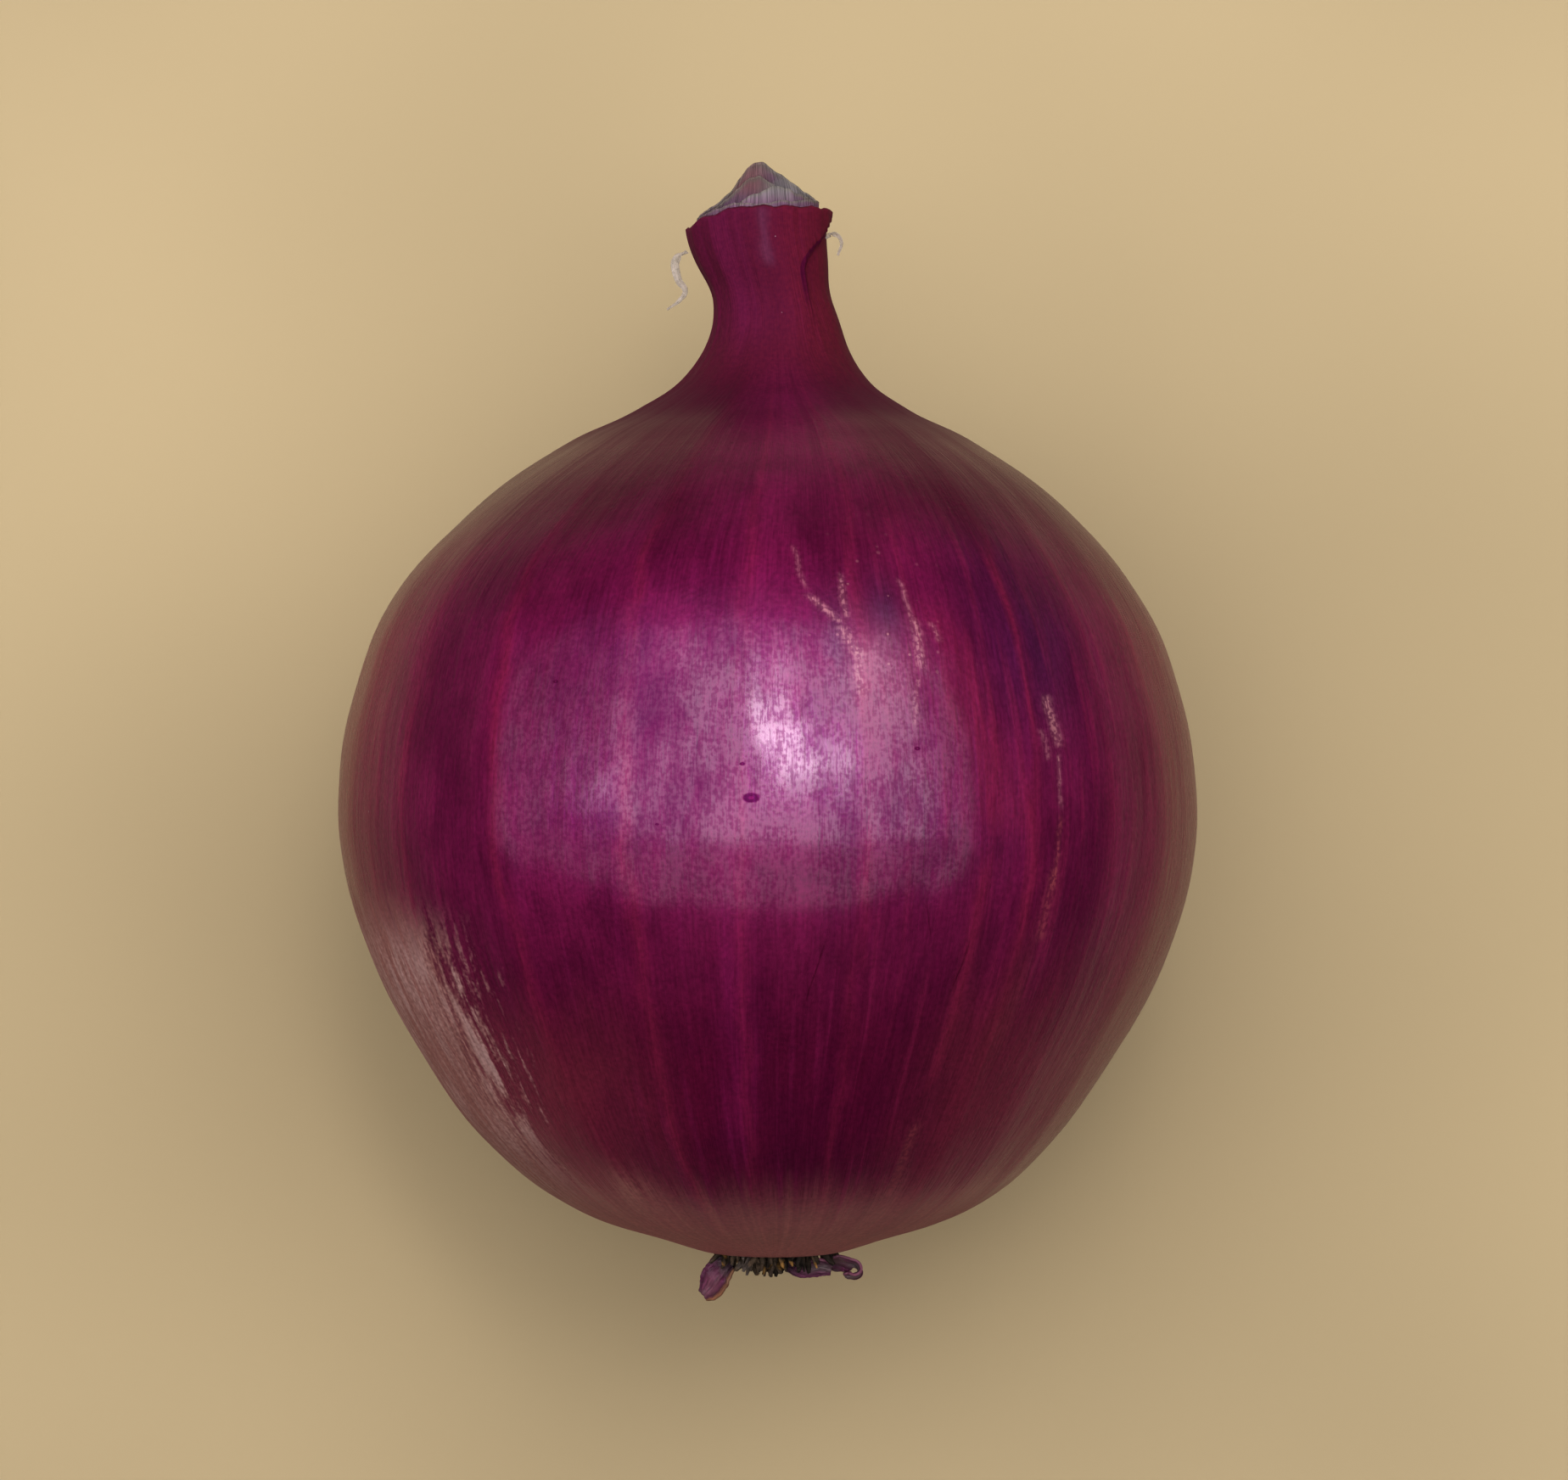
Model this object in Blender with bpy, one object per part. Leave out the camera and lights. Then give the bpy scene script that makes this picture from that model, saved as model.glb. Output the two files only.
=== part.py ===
# A red onion lying on its side, neck to +Y and root to -Y, on a small flat spot at z = 0.
# Metres, +Z up. The origin is on the surface it rests on, under the middle of its bounding box.

import math
import random

import bmesh
import bpy
import numpy as np
from mathutils import Vector

# Driving dimensions
BULB_RADIUS = 0.0373
FLAT_DEPTH = 0.00045
AXIS_HEIGHT = BULB_RADIUS - FLAT_DEPTH
GAP = 0.0003

# The half outline from the root rim to the neck's lip: (station along the axis, radius), as
# shares of BULB_RADIUS, with the widest ring at station 0
OUTLINE = (
    (-1.011, 0.147),
    (-0.979, 0.262),
    (-0.898, 0.479),
    (-0.765, 0.644),
    (-0.543, 0.805),
    (-0.300, 0.932),
    (-0.080, 0.996),
    (0.100, 0.997),
    (0.300, 0.958),
    (0.506, 0.876),
    (0.703, 0.708),
    (0.882, 0.458),
    (0.961, 0.303),
    (1.042, 0.202),
    (1.200, 0.141),
    (1.320, 0.149),
    (1.422, 0.158),
)
RIM_STATION = OUTLINE[0][0] * BULB_RADIUS
NECK_START = 0.90 * BULB_RADIUS
NECK_WAIST = 1.205 * BULB_RADIUS
LIP_STATION = OUTLINE[-1][0] * BULB_RADIUS
LIP_RADIUS = OUTLINE[-1][1] * BULB_RADIUS

# Mesh fineness
SIDES = 84
OUTER_RINGS = 42
NECK_DENSITY = 2.2
OUTLINE_STEPS = 600
SHARP_ANGLE = math.radians(50)

# Broad unevenness of the bulb: (waves around it, share of the radius, angle in degrees)
LOBES = ((2, 0.002, 70), (3, 0.003, 20), (5, 0.0012, 150))
# Shallow flats, and swellings where the depth is below 0: (angle in degrees, station and spread
# as shares of the radius, depth)
PRESSES = (
    (180, -0.15, 0.30, 0.0004),
    (180, 0.86, 0.17, -0.0013),
    (0, -0.42, 0.34, -0.0005),
    (3, 0.36, 0.30, -0.0003),
    (118, -0.45, 0.30, 0.0002),
    (250, 0.30, 0.35, 0.0003),
    (318, -0.20, 0.30, 0.0003),
)
# Low ribs over the veins of the outer skin
VEIN_COUNT = 22
VEIN_HEIGHT = 0.00024
VEIN_HALF_WIDTH = math.radians(4.2)
VEIN_SEED = 11

# The neck leans towards -X, is flatter than it is wide, and its outer skin wraps over itself:
# the free edge crosses from the top of the neck's foot to the right of its lip
NECK_BASE_SHIFT = 0.0011
NECK_TIP_SHIFT = -0.0006
NECK_BEND_START = 1.14 * BULB_RADIUS
NECK_FLATNESS = 0.80
WRAP_FOOT_ANGLE = math.radians(54)
WRAP_LIP_ANGLE = math.radians(4)
WRAP_STEP = 0.0006
WRAP_START = 1.12 * BULB_RADIUS
WRAP_FULL = 1.27 * BULB_RADIUS
# How far past LIP_STATION the cut lip runs at the right, top, left and underside
LIP_RIGHT = 0.0002
LIP_TOP = 0.0001
LIP_LEFT = -0.0014
LIP_UNDER = 0.0018
LIP_FLARE = 0.0004

# The mouth of the neck, and the dried leaf tips that fill it: a straight foot in the mouth, then
# a pleated bundle that spreads over the lip and narrows to a point over the neck's underside
MOUTH_DEPTH = 0.0030
MOUTH_WALL = 0.0007
LIP_ROLL = 0.0002
TIPS_REACH = 0.0046
TIPS_PEAK_ASIDE = 0.0002
TIPS_PEAK_DROP = 0.0016
TIPS_OVERLAP = 0.0006
TIPS_SIDES = 44
TIPS_RINGS = 10
TIPS_LAST_SHARE = 0.96
TIPS_BLUNTNESS = 0.66
TIPS_LEFT_SLIMMING = 0.60
TIPS_PLEATS = 7
TIPS_PLEAT_DEPTH = 0.14
TIPS_PLEAT_TWIST = 3.0
TIPS_PLEAT_START = 0.25

# The root plate, in its shallow seat at the root end
PLATE_RADIUS = 0.0053
PLATE_SHIFT = 0.0008
PLATE_BULGE = 0.0008
PLATE_EDGE = 0.0003
PLATE_SIDES = 30
PLATE_DOME_RINGS = 4
SEAT_DEPTH = 0.0016
SEAT_WALL = 0.0002
PLATE_BACK = SEAT_DEPTH - GAP

# The stubs of its dried roots, sunk in the plate
ROOT_COUNT = 70
ROOT_RADIUS = 0.00046
ROOT_TAPER = 0.35
ROOT_LENGTHS = (0.0004, 0.0013)
ROOT_SPLAY = 0.40
ROOT_WANDER = 0.25
ROOT_CURL = 0.0004
ROOT_SINK = 0.0006
ROOT_FIELD = 0.88 * PLATE_RADIUS
ROOT_SIDES = 5
ROOT_STEPS = (0.0, 0.45, 0.75, 1.0)
ROOT_SEED = 5
GOLDEN_ANGLE = math.pi * (3 - math.sqrt(5))

# Two scraps of an older skin, still held at the root plate. Their paths are offsets from the
# middle of the rim, with the width at each point, and the roots leave them room
SCRAP_THICKNESS = 0.0006
SCRAP_CUP = 0.25
SCRAP_STEPS = 11
SCRAP_PLACES = (-1.0, -0.5, 0.0, 0.5, 1.0)
FLAP_PATH = (
    (-0.0027, -0.0011, 0.0012),
    (-0.0034, -0.0019, 0.0010),
    (-0.0041, -0.0028, 0.0005),
    (-0.0048, -0.0036, -0.0004),
)
FLAP_WIDTHS = (0.0018, 0.0030, 0.0031, 0.0016)
FLAP_ACROSS = Vector((0.72, -0.30, 0.62))
CURL_PATH = (
    (0.0043, -0.0012, 0.0004),
    (0.0059, -0.0008, 0.0003),
    (0.0071, -0.0008, 0.0005),
    (0.0081, -0.0013, 0.0004),
    (0.0079, -0.0021, 0.0000),
    (0.0069, -0.0023, -0.0004),
)
CURL_WIDTHS = (0.0014, 0.0022, 0.0026, 0.0026, 0.0020, 0.0014)
CURL_ACROSS = Vector((0.0, 0.1, 1.0))
SCRAP_ANGLES = (math.radians(165), math.radians(0))
SCRAP_ROOM = math.radians(40)
SCRAP_INNER_REACH = 0.46

# Colour, roughness and metallic value of each kind of surface
SKIN_FINISH = ((0.165, 0.012, 0.072), 0.38, 0.0)
TIPS_FINISH = ((0.135, 0.085, 0.115), 0.75, 0.0)
PLATE_FINISH = ((0.060, 0.036, 0.018), 0.90, 0.0)
SCRAP_FINISH = ((0.120, 0.018, 0.050), 0.60, 0.0)


def material(name, finish):
    colour, roughness, metallic = finish
    made = bpy.data.materials.new(name)
    made.use_nodes = True
    shader = made.node_tree.nodes["Principled BSDF"]
    shader.inputs["Base Color"].default_value = (*colour, 1)
    shader.inputs["Roughness"].default_value = roughness
    shader.inputs["Metallic"].default_value = metallic
    return made


def add_object(name, shape, finish):
    """A smooth-shaded object from a bmesh, which is freed."""
    bmesh.ops.recalc_face_normals(shape, faces=shape.faces)
    mesh = bpy.data.meshes.new(name)
    shape.to_mesh(mesh)
    shape.free()
    mesh.shade_smooth()
    mesh.set_sharp_from_angle(angle=SHARP_ANGLE)
    mesh.materials.append(material(name, finish))
    obj = bpy.data.objects.new(name, mesh)
    bpy.context.scene.collection.objects.link(obj)
    return obj


def ramp(value, start, end):
    """0 before start, 1 past end, and a smooth step between."""
    share = min(1, max(0, (value - start) / (end - start)))
    return share * share * (3 - 2 * share)


def angle_between(a, b):
    return abs((a - b + math.pi) % (2 * math.pi) - math.pi)


def smooth_curve(points):
    """A function of t, from 0 to 1, that follows one natural cubic spline through the points."""
    knots = np.array(points, float)
    lengths = np.linalg.norm(np.diff(knots, axis=0), axis=1)
    at = np.concatenate(([0.0], np.cumsum(lengths)))
    slopes = np.diff(knots, axis=0) / lengths[:, None]
    system = np.eye(len(knots))
    turning = np.zeros_like(knots)
    for i in range(1, len(knots) - 1):
        system[i, i - 1] = lengths[i - 1]
        system[i, i] = 2 * (lengths[i - 1] + lengths[i])
        system[i, i + 1] = lengths[i]
        turning[i] = 6 * (slopes[i] - slopes[i - 1])
    bend = np.linalg.solve(system, turning)

    def point(t):
        place = t * at[-1]
        i = min(int(np.searchsorted(at, place, side="right")) - 1, len(lengths) - 1)
        step = lengths[i]
        ahead = (place - at[i]) / step
        left = 1 - ahead
        straight = knots[i] * left + knots[i + 1] * ahead
        curve = bend[i] * (left**3 - left) + bend[i + 1] * (ahead**3 - ahead)
        return Vector(straight + curve * step * step / 6)

    return point


def outer_rings():
    """Stations and radii down the outside, evenly spaced on the bulb and closer on the neck."""
    outline = smooth_curve(OUTLINE)
    fine = [outline(k / OUTLINE_STEPS) * BULB_RADIUS for k in range(OUTLINE_STEPS + 1)]
    travelled = [0.0]
    for a, b in zip(fine, fine[1:]):
        density = 1 + (NECK_DENSITY - 1) * ramp(b.x, 0.7 * BULB_RADIUS, NECK_START)
        travelled.append(travelled[-1] + (b - a).length * density)
    rings = []
    k = 0
    for i in range(OUTER_RINGS):
        wanted = travelled[-1] * i / (OUTER_RINGS - 1)
        while k < len(fine) - 2 and travelled[k + 1] < wanted:
            k += 1
        share = (wanted - travelled[k]) / (travelled[k + 1] - travelled[k])
        rings.append(fine[k].lerp(fine[k + 1], share))
    return rings


def veins():
    """The angle and height of each vein's rib."""
    draw = random.Random(VEIN_SEED)
    spacing = 2 * math.pi / VEIN_COUNT
    return [
        ((k + draw.uniform(-0.3, 0.3)) * spacing, VEIN_HEIGHT * draw.uniform(0.4, 1.0))
        for k in range(VEIN_COUNT)
    ]


VEINS = veins()


def uneven_radius(station, radius, angle):
    """The radius with the bulb's lobes, flats and veins. Angle 0 is +X and 90 degrees is up."""
    on_bulb = math.sin(math.pi * ramp(station, 1.02 * RIM_STATION, NECK_START)) ** 0.5
    lobes = sum(size * math.cos(waves * (angle - math.radians(at))) for waves, size, at in LOBES)
    uneven = radius * (1 + on_bulb * lobes)
    for at, place, spread, depth in PRESSES:
        along = (station / BULB_RADIUS - place) / spread
        around = angle_between(angle, math.radians(at)) / spread
        uneven -= depth * math.exp(-along * along - around * around)
    fade = min(1, radius / (0.5 * BULB_RADIUS))
    for at, height in VEINS:
        around = angle_between(angle, at) / VEIN_HALF_WIDTH
        uneven += height * fade * math.exp(-around * around)
    return uneven


def lip_run(angle):
    """How far the oblique cut lip stands past LIP_STATION at an angle."""
    across = LIP_RIGHT if math.cos(angle) > 0 else LIP_LEFT
    upright = LIP_TOP if math.sin(angle) > 0 else LIP_UNDER
    return across * math.cos(angle) ** 2 + upright * math.sin(angle) ** 2


def skin_point(station, radius, angle):
    """A point of the outer skin, with the neck bent, flattened, wrapped and flared, its end slanted."""
    on_neck = ramp(station, NECK_START, NECK_WAIST)
    at_lip = ramp(station, NECK_WAIST, LIP_STATION)
    crossed = ramp(station, WRAP_FULL, LIP_STATION)
    edge = WRAP_FOOT_ANGLE + (WRAP_LIP_ANGLE - WRAP_FOOT_ANGLE) * crossed
    turned = (angle - edge) % (2 * math.pi) / (2 * math.pi)
    wrap = WRAP_STEP * (0.5 - turned) * ramp(station, WRAP_START, WRAP_FULL)
    out = radius + wrap + LIP_FLARE * at_lip * abs(math.cos(angle)) ** 3
    flatness = 1 + (NECK_FLATNESS - 1) * on_neck
    shift = PLATE_SHIFT * (1 - ramp(station, RIM_STATION, 0.6 * RIM_STATION))
    shift += NECK_BASE_SHIFT * ramp(station, 0.5 * BULB_RADIUS, NECK_START)
    shift += (NECK_TIP_SHIFT - NECK_BASE_SHIFT) * ramp(station, NECK_BEND_START, LIP_STATION)
    return Vector(
        (
            shift + out * math.cos(angle),
            station + at_lip * lip_run(angle),
            AXIS_HEIGHT + flatness * out * math.sin(angle),
        )
    )


def circle_of(sides, point_at):
    return [point_at(2 * math.pi * k / sides) for k in range(sides)]


def bridge(shape, rings):
    """Quads between each ring of vertices and the next."""
    for lower, upper in zip(rings, rings[1:]):
        for k in range(len(lower)):
            after = (k + 1) % len(lower)
            shape.faces.new((lower[k], lower[after], upper[after], upper[k]))


def fan(shape, ring, tip):
    for k in range(len(ring)):
        shape.faces.new((ring[k], ring[(k + 1) % len(ring)], tip))


def skinned_solid(loops, first_tip, last_tip):
    """A closed solid skinned over loops of points, with a tip vertex at each end."""
    shape = bmesh.new()
    rings = [[shape.verts.new(point) for point in loop] for loop in loops]
    bridge(shape, rings)
    fan(shape, rings[0], shape.verts.new(first_tip))
    fan(shape, rings[-1], shape.verts.new(last_tip))
    return shape


def root_disc(depth, radius, sides):
    """A circle around the middle of the root end, that far inside the rim."""
    return circle_of(
        sides,
        lambda a: Vector(
            (
                PLATE_SHIFT + radius * math.cos(a),
                RIM_STATION + depth,
                AXIS_HEIGHT + radius * math.sin(a),
            )
        ),
    )


def root_middle(depth):
    return Vector((PLATE_SHIFT, RIM_STATION + depth, AXIS_HEIGHT))


def mouth_point(angle, depth, inset):
    """A point of the mouth's inner wall, that far below the lip and that far inside its skin."""
    lip = skin_point(LIP_STATION, LIP_RADIUS, angle)
    middle = Vector((NECK_TIP_SHIFT, lip.y, AXIS_HEIGHT))
    inward = (middle - lip).normalized()
    return lip + inward * inset - Vector((0, depth, 0))


def make_bulb():
    """The bulb and neck in one grown piece, with the root plate's seat and the neck's mouth."""
    seat_radius = PLATE_RADIUS + GAP
    loops = [
        root_disc(SEAT_DEPTH, 0.5 * seat_radius, SIDES),
        root_disc(SEAT_DEPTH, seat_radius, SIDES),
        root_disc(SEAT_WALL, seat_radius, SIDES),
    ]
    for ring in outer_rings():
        loops.append(
            circle_of(SIDES, lambda a: skin_point(ring.x, uneven_radius(ring.x, ring.y, a), a))
        )
    for depth in (LIP_ROLL, MOUTH_DEPTH):
        loops.append(circle_of(SIDES, lambda a: mouth_point(a, depth, MOUTH_WALL)))
    mouth_middle = Vector((NECK_TIP_SHIFT, LIP_STATION - MOUTH_DEPTH, AXIS_HEIGHT))
    shape = skinned_solid(loops, root_middle(SEAT_DEPTH), mouth_middle)

    # The flat spot: everything under the resting surface is cut away and the cut is closed
    cut = bmesh.ops.bisect_plane(
        shape,
        geom=[*shape.verts, *shape.edges, *shape.faces],
        plane_co=(0, 0, 0),
        plane_no=(0, 0, -1),
        clear_outer=True,
    )
    edges = [e for e in cut["geom_cut"] if isinstance(e, bmesh.types.BMEdge)]
    bmesh.ops.contextual_create(shape, geom=edges)
    return add_object("bulb", shape, SKIN_FINISH)


def make_neck_tips():
    """The bundle of dried inner leaves, sunk in the mouth and drawn out to a point."""
    peak = Vector(
        (NECK_TIP_SHIFT + TIPS_PEAK_ASIDE, LIP_STATION + TIPS_REACH, AXIS_HEIGHT - TIPS_PEAK_DROP)
    )

    def tips_point(share, angle):
        base = mouth_point(angle, -TIPS_OVERLAP, 0)
        middle = Vector((NECK_TIP_SHIFT, base.y, AXIS_HEIGHT))
        wave = 0.5 + 0.5 * math.cos(TIPS_PLEATS * angle + TIPS_PLEAT_TWIST * share)
        pleat = 1 - TIPS_PLEAT_DEPTH * ramp(share, 0, TIPS_PLEAT_START) * wave
        bluntness = TIPS_BLUNTNESS + TIPS_LEFT_SLIMMING * max(0, -math.cos(angle))
        arm = (base - middle) * (1 - share) ** bluntness * pleat
        return middle.lerp(peak, share) + arm

    loops = [
        circle_of(TIPS_SIDES, lambda a: mouth_point(a, depth, MOUTH_WALL + GAP))
        for depth in (MOUTH_DEPTH - GAP, -GAP)
    ]
    for k in range(TIPS_RINGS):
        share = TIPS_LAST_SHARE * k / (TIPS_RINGS - 1)
        loops.append(circle_of(TIPS_SIDES, lambda a: tips_point(share, a)))
    foot_middle = Vector((NECK_TIP_SHIFT, LIP_STATION - MOUTH_DEPTH + GAP, AXIS_HEIGHT))
    return add_object("neck_tips", skinned_solid(loops, foot_middle, peak), TIPS_FINISH)


def root_place(k):
    """How far out on the plate, as a share, and at what angle a root stands."""
    return math.sqrt((k + 0.5) / ROOT_COUNT), k * GOLDEN_ANGLE


def meets_a_scrap(k):
    share, angle = root_place(k)
    near = any(angle_between(angle, at) < SCRAP_ROOM for at in SCRAP_ANGLES)
    return near and share > SCRAP_INNER_REACH


def make_root(k, draw):
    """One dried root stub, bent a little and sunk in the root plate."""
    share, angle = root_place(k)
    outward = Vector((math.cos(angle), 0, math.sin(angle)))
    foot = root_middle(ROOT_SINK) + outward * ROOT_FIELD * share
    wander = Vector([draw.uniform(-ROOT_WANDER, ROOT_WANDER) for _ in range(3)])
    heading = (Vector((0, -1, 0)) + outward * ROOT_SPLAY * share + wander).normalized()
    sideways = heading.orthogonal().normalized()
    upward = heading.cross(sideways)
    curl = sideways * draw.uniform(-ROOT_CURL, ROOT_CURL)
    run = ROOT_SINK + PLATE_BULGE * (1 - share * share) + draw.uniform(*ROOT_LENGTHS)

    def loop_at(step):
        centre = foot + heading * run * step + curl * step * step
        radius = ROOT_RADIUS * (1 - ROOT_TAPER * step)
        return circle_of(
            ROOT_SIDES,
            lambda a: centre + (sideways * math.cos(a) + upward * math.sin(a)) * radius,
        )

    rounding = heading * 0.3 * ROOT_RADIUS
    tip = foot + heading * run + curl + rounding
    solid = skinned_solid([loop_at(step) for step in ROOT_STEPS], foot - rounding, tip)
    return add_object(f"root_{k}", solid, PLATE_FINISH)


def make_root_plate():
    """The corky disc, with the stubs of its dried roots fused to it."""
    loops = [
        root_disc(PLATE_BACK, PLATE_RADIUS - PLATE_EDGE, PLATE_SIDES),
        root_disc(PLATE_BACK - PLATE_EDGE, PLATE_RADIUS, PLATE_SIDES),
    ]
    for k in range(PLATE_DOME_RINGS + 1):
        turn = 0.5 * math.pi * k / (PLATE_DOME_RINGS + 1)
        depth = SEAT_WALL - PLATE_BULGE * math.sin(turn)
        loops.append(root_disc(depth, PLATE_RADIUS * math.cos(turn), PLATE_SIDES))
    front = root_middle(SEAT_WALL - PLATE_BULGE)
    solid = skinned_solid(loops, root_middle(PLATE_BACK), front)
    plate = add_object("root_plate", solid, PLATE_FINISH)

    draw = random.Random(ROOT_SEED)
    roots = bpy.data.collections.new("roots")
    bpy.context.scene.collection.children.link(roots)
    for k in range(ROOT_COUNT):
        if meets_a_scrap(k):
            continue
        root = make_root(k, draw)
        bpy.context.scene.collection.objects.unlink(root)
        roots.objects.link(root)
    joined = plate.modifiers.new("roots joined", "BOOLEAN")
    joined.operation = "UNION"
    joined.operand_type = "COLLECTION"
    joined.collection = roots
    joined.solver = "EXACT"
    bpy.context.view_layer.objects.active = plate
    bpy.ops.object.modifier_apply(modifier=joined.name)
    for root in list(roots.objects):
        bpy.data.objects.remove(root)
    bpy.data.collections.remove(roots)
    return plate


def make_scrap(name, path, widths, across):
    """A scrap of dried skin: a cupped blade along a path, its width running along across."""
    start = Vector((0, RIM_STATION, AXIS_HEIGHT))
    line = smooth_curve([start + Vector(point) for point in path])
    width_at = smooth_curve([(k / (len(widths) - 1), width) for k, width in enumerate(widths)])
    small = 0.02
    shape = bmesh.new()
    loops = []
    for k in range(SCRAP_STEPS):
        t = k / (SCRAP_STEPS - 1)
        ahead = (line(min(1, t + small)) - line(max(0, t - small))).normalized()
        side = (across - ahead * across.dot(ahead)).normalized()
        out = ahead.cross(side)
        half = width_at(t).y / 2
        loop = []
        for face, places in ((0.5, SCRAP_PLACES), (-0.5, SCRAP_PLACES[::-1])):
            for place in places:
                rise = SCRAP_CUP * half * place * place + face * SCRAP_THICKNESS
                loop.append(line(t) + side * half * place + out * rise)
        loops.append([shape.verts.new(point) for point in loop])
    bridge(shape, loops)
    shape.faces.new(loops[0])
    shape.faces.new(loops[-1])
    return add_object(name, shape, SCRAP_FINISH)


def centre_on_origin():
    """Moves all the pieces so that the middle of their box is over the origin."""
    meshes = [obj.data for obj in bpy.context.scene.objects if obj.type == "MESH"]
    points = [vertex.co for mesh in meshes for vertex in mesh.vertices]
    middle_x = (min(p.x for p in points) + max(p.x for p in points)) / 2
    middle_y = (min(p.y for p in points) + max(p.y for p in points)) / 2
    for obj in bpy.context.scene.objects:
        obj.location = (-middle_x, -middle_y, 0)


for leftover in list(bpy.data.objects):
    bpy.data.objects.remove(leftover)
make_bulb()
make_neck_tips()
make_root_plate()
make_scrap("root_flap", FLAP_PATH, FLAP_WIDTHS, FLAP_ACROSS)
make_scrap("root_curl", CURL_PATH, CURL_WIDTHS, CURL_ACROSS)
centre_on_origin()
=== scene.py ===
import math

import bpy
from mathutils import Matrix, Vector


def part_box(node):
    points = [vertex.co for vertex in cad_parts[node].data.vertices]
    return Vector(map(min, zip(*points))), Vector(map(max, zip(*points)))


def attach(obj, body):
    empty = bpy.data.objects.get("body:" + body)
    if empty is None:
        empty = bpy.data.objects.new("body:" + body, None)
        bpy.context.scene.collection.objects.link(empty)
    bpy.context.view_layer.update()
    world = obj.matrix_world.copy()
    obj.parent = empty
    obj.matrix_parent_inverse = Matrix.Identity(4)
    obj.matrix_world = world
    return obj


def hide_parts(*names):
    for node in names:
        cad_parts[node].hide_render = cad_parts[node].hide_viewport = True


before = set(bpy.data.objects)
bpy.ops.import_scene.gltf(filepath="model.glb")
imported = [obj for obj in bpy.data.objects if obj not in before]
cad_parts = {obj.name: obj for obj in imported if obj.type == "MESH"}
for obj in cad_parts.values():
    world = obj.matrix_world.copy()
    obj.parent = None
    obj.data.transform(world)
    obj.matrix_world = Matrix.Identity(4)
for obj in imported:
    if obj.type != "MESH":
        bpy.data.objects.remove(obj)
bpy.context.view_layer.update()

# The dry outer skin, over the whole bulb and neck. It is one grown thing: fibrous papery skin
# shrunk tight on the fleshy leaves, ribbed over its veins, that wraps over itself up the neck.
# Geometry Nodes sweep its outline round the axis, from the root plate's seat into the cut mouth.

TURN = 2 * math.pi
RADIUS = 0.0373
REST_DEPTH = 0.00045
AXIS_Z = RADIUS - REST_DEPTH
OUTLINE = (
    (-1.011, 0.147),
    (-0.979, 0.262),
    (-0.898, 0.479),
    (-0.765, 0.644),
    (-0.543, 0.805),
    (-0.300, 0.932),
    (-0.080, 0.996),
    (0.100, 0.997),
    (0.300, 0.958),
    (0.506, 0.876),
    (0.703, 0.708),
    (0.882, 0.458),
    (0.961, 0.303),
    (1.042, 0.202),
    (1.200, 0.141),
    (1.320, 0.149),
    (1.422, 0.158),
)
RIM = OUTLINE[0][0] * RADIUS
LIP = OUTLINE[-1][0] * RADIUS
LIP_RADIUS = OUTLINE[-1][1] * RADIUS
NECK_START = 0.90 * RADIUS
NECK_WAIST = 1.205 * RADIUS
PLATE_SHIFT = 0.0008
SEAT_RADIUS = 0.00525
SEAT_DEPTH = 0.0016
SEAT_WALL = 0.0002
MOUTH_WALL = 0.00045
MOUTH_DEPTH = 0.0030
RIB_WIDTH = math.radians(3.4)

# The neck is flatter than it is wide, and leans: right at its foot, and back left up to its tip
NECK_FLATNESS = 0.80
NECK_FOOT_SHIFT = 0.0011
NECK_TIP_RETURN = 0.0017
NECK_BEND_START = 1.14 * RADIUS
# How far the slanted lip stands past its middle at the right, top and underside, and back at the left
LIP_RIGHT = 0.0002
LIP_TOP = 0.0001
LIP_UNDER = 0.0018
LIP_LEFT = 0.0014
LIP_FLARE = 0.0004
LIP_TEARS = 0.0011
# Where the skin wraps over itself, the angle of its own edge there, and how far that turns up the neck
WRAP_START = 1.12 * RADIUS
WRAP_FULL = 1.27 * RADIUS
WRAP_FOOT = math.radians(54)
WRAP_TURN = math.radians(50)

# The axis in the frame: across, and the place along it of the widest ring
plate_low, plate_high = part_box("root_plate")
AXIS_X = (plate_low.x + plate_high.x) / 2 - PLATE_SHIFT
WIDEST_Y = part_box("bulb")[0].y - RIM

LOBES = ((2, 0.002, 70), (3, 0.003, 20), (5, 0.0012, 150))
PRESSES = (
    (180, -0.15, 0.30, 0.0004),
    (180, 0.86, 0.17, -0.0013),
    (0, -0.42, 0.34, -0.0005),
    (3, 0.36, 0.30, -0.0003),
    (118, -0.45, 0.30, 0.0002),
    (250, 0.30, 0.35, 0.0003),
    (318, -0.20, 0.30, 0.0003),
)

# Each strong vein: its angle in degrees at the root and at the neck, and its strength
VEINS = (
    (8, 4, 0.5),
    (24, 30, 0.8),
    (41, 40, 0.5),
    (56, 51, 1.0),
    (78, 76, 0.8),
    (93, 92, 0.6),
    (105, 110, 0.9),
    (121, 131, 1.0),
    (141, 146, 0.5),
    (160, 158, 0.7),
    (184, 188, 0.8),
    (207, 203, 0.6),
    (229, 233, 1.0),
    (252, 250, 0.5),
    (276, 279, 0.8),
    (301, 297, 0.6),
    (329, 332, 0.9),
    (347, 344, 0.6),
)
VEIN_WIDTH = math.radians(1.05)
SKIN_SIZES = {
    "Sides": 288,
    "Rings": 300,
    "Rib height": 0.00014,
    "Waviness": 4.0,
    "Wrap step": 0.0006,
    "Neck flatness": NECK_FLATNESS,
    "Fold depth": 0.00028,
}


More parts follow.
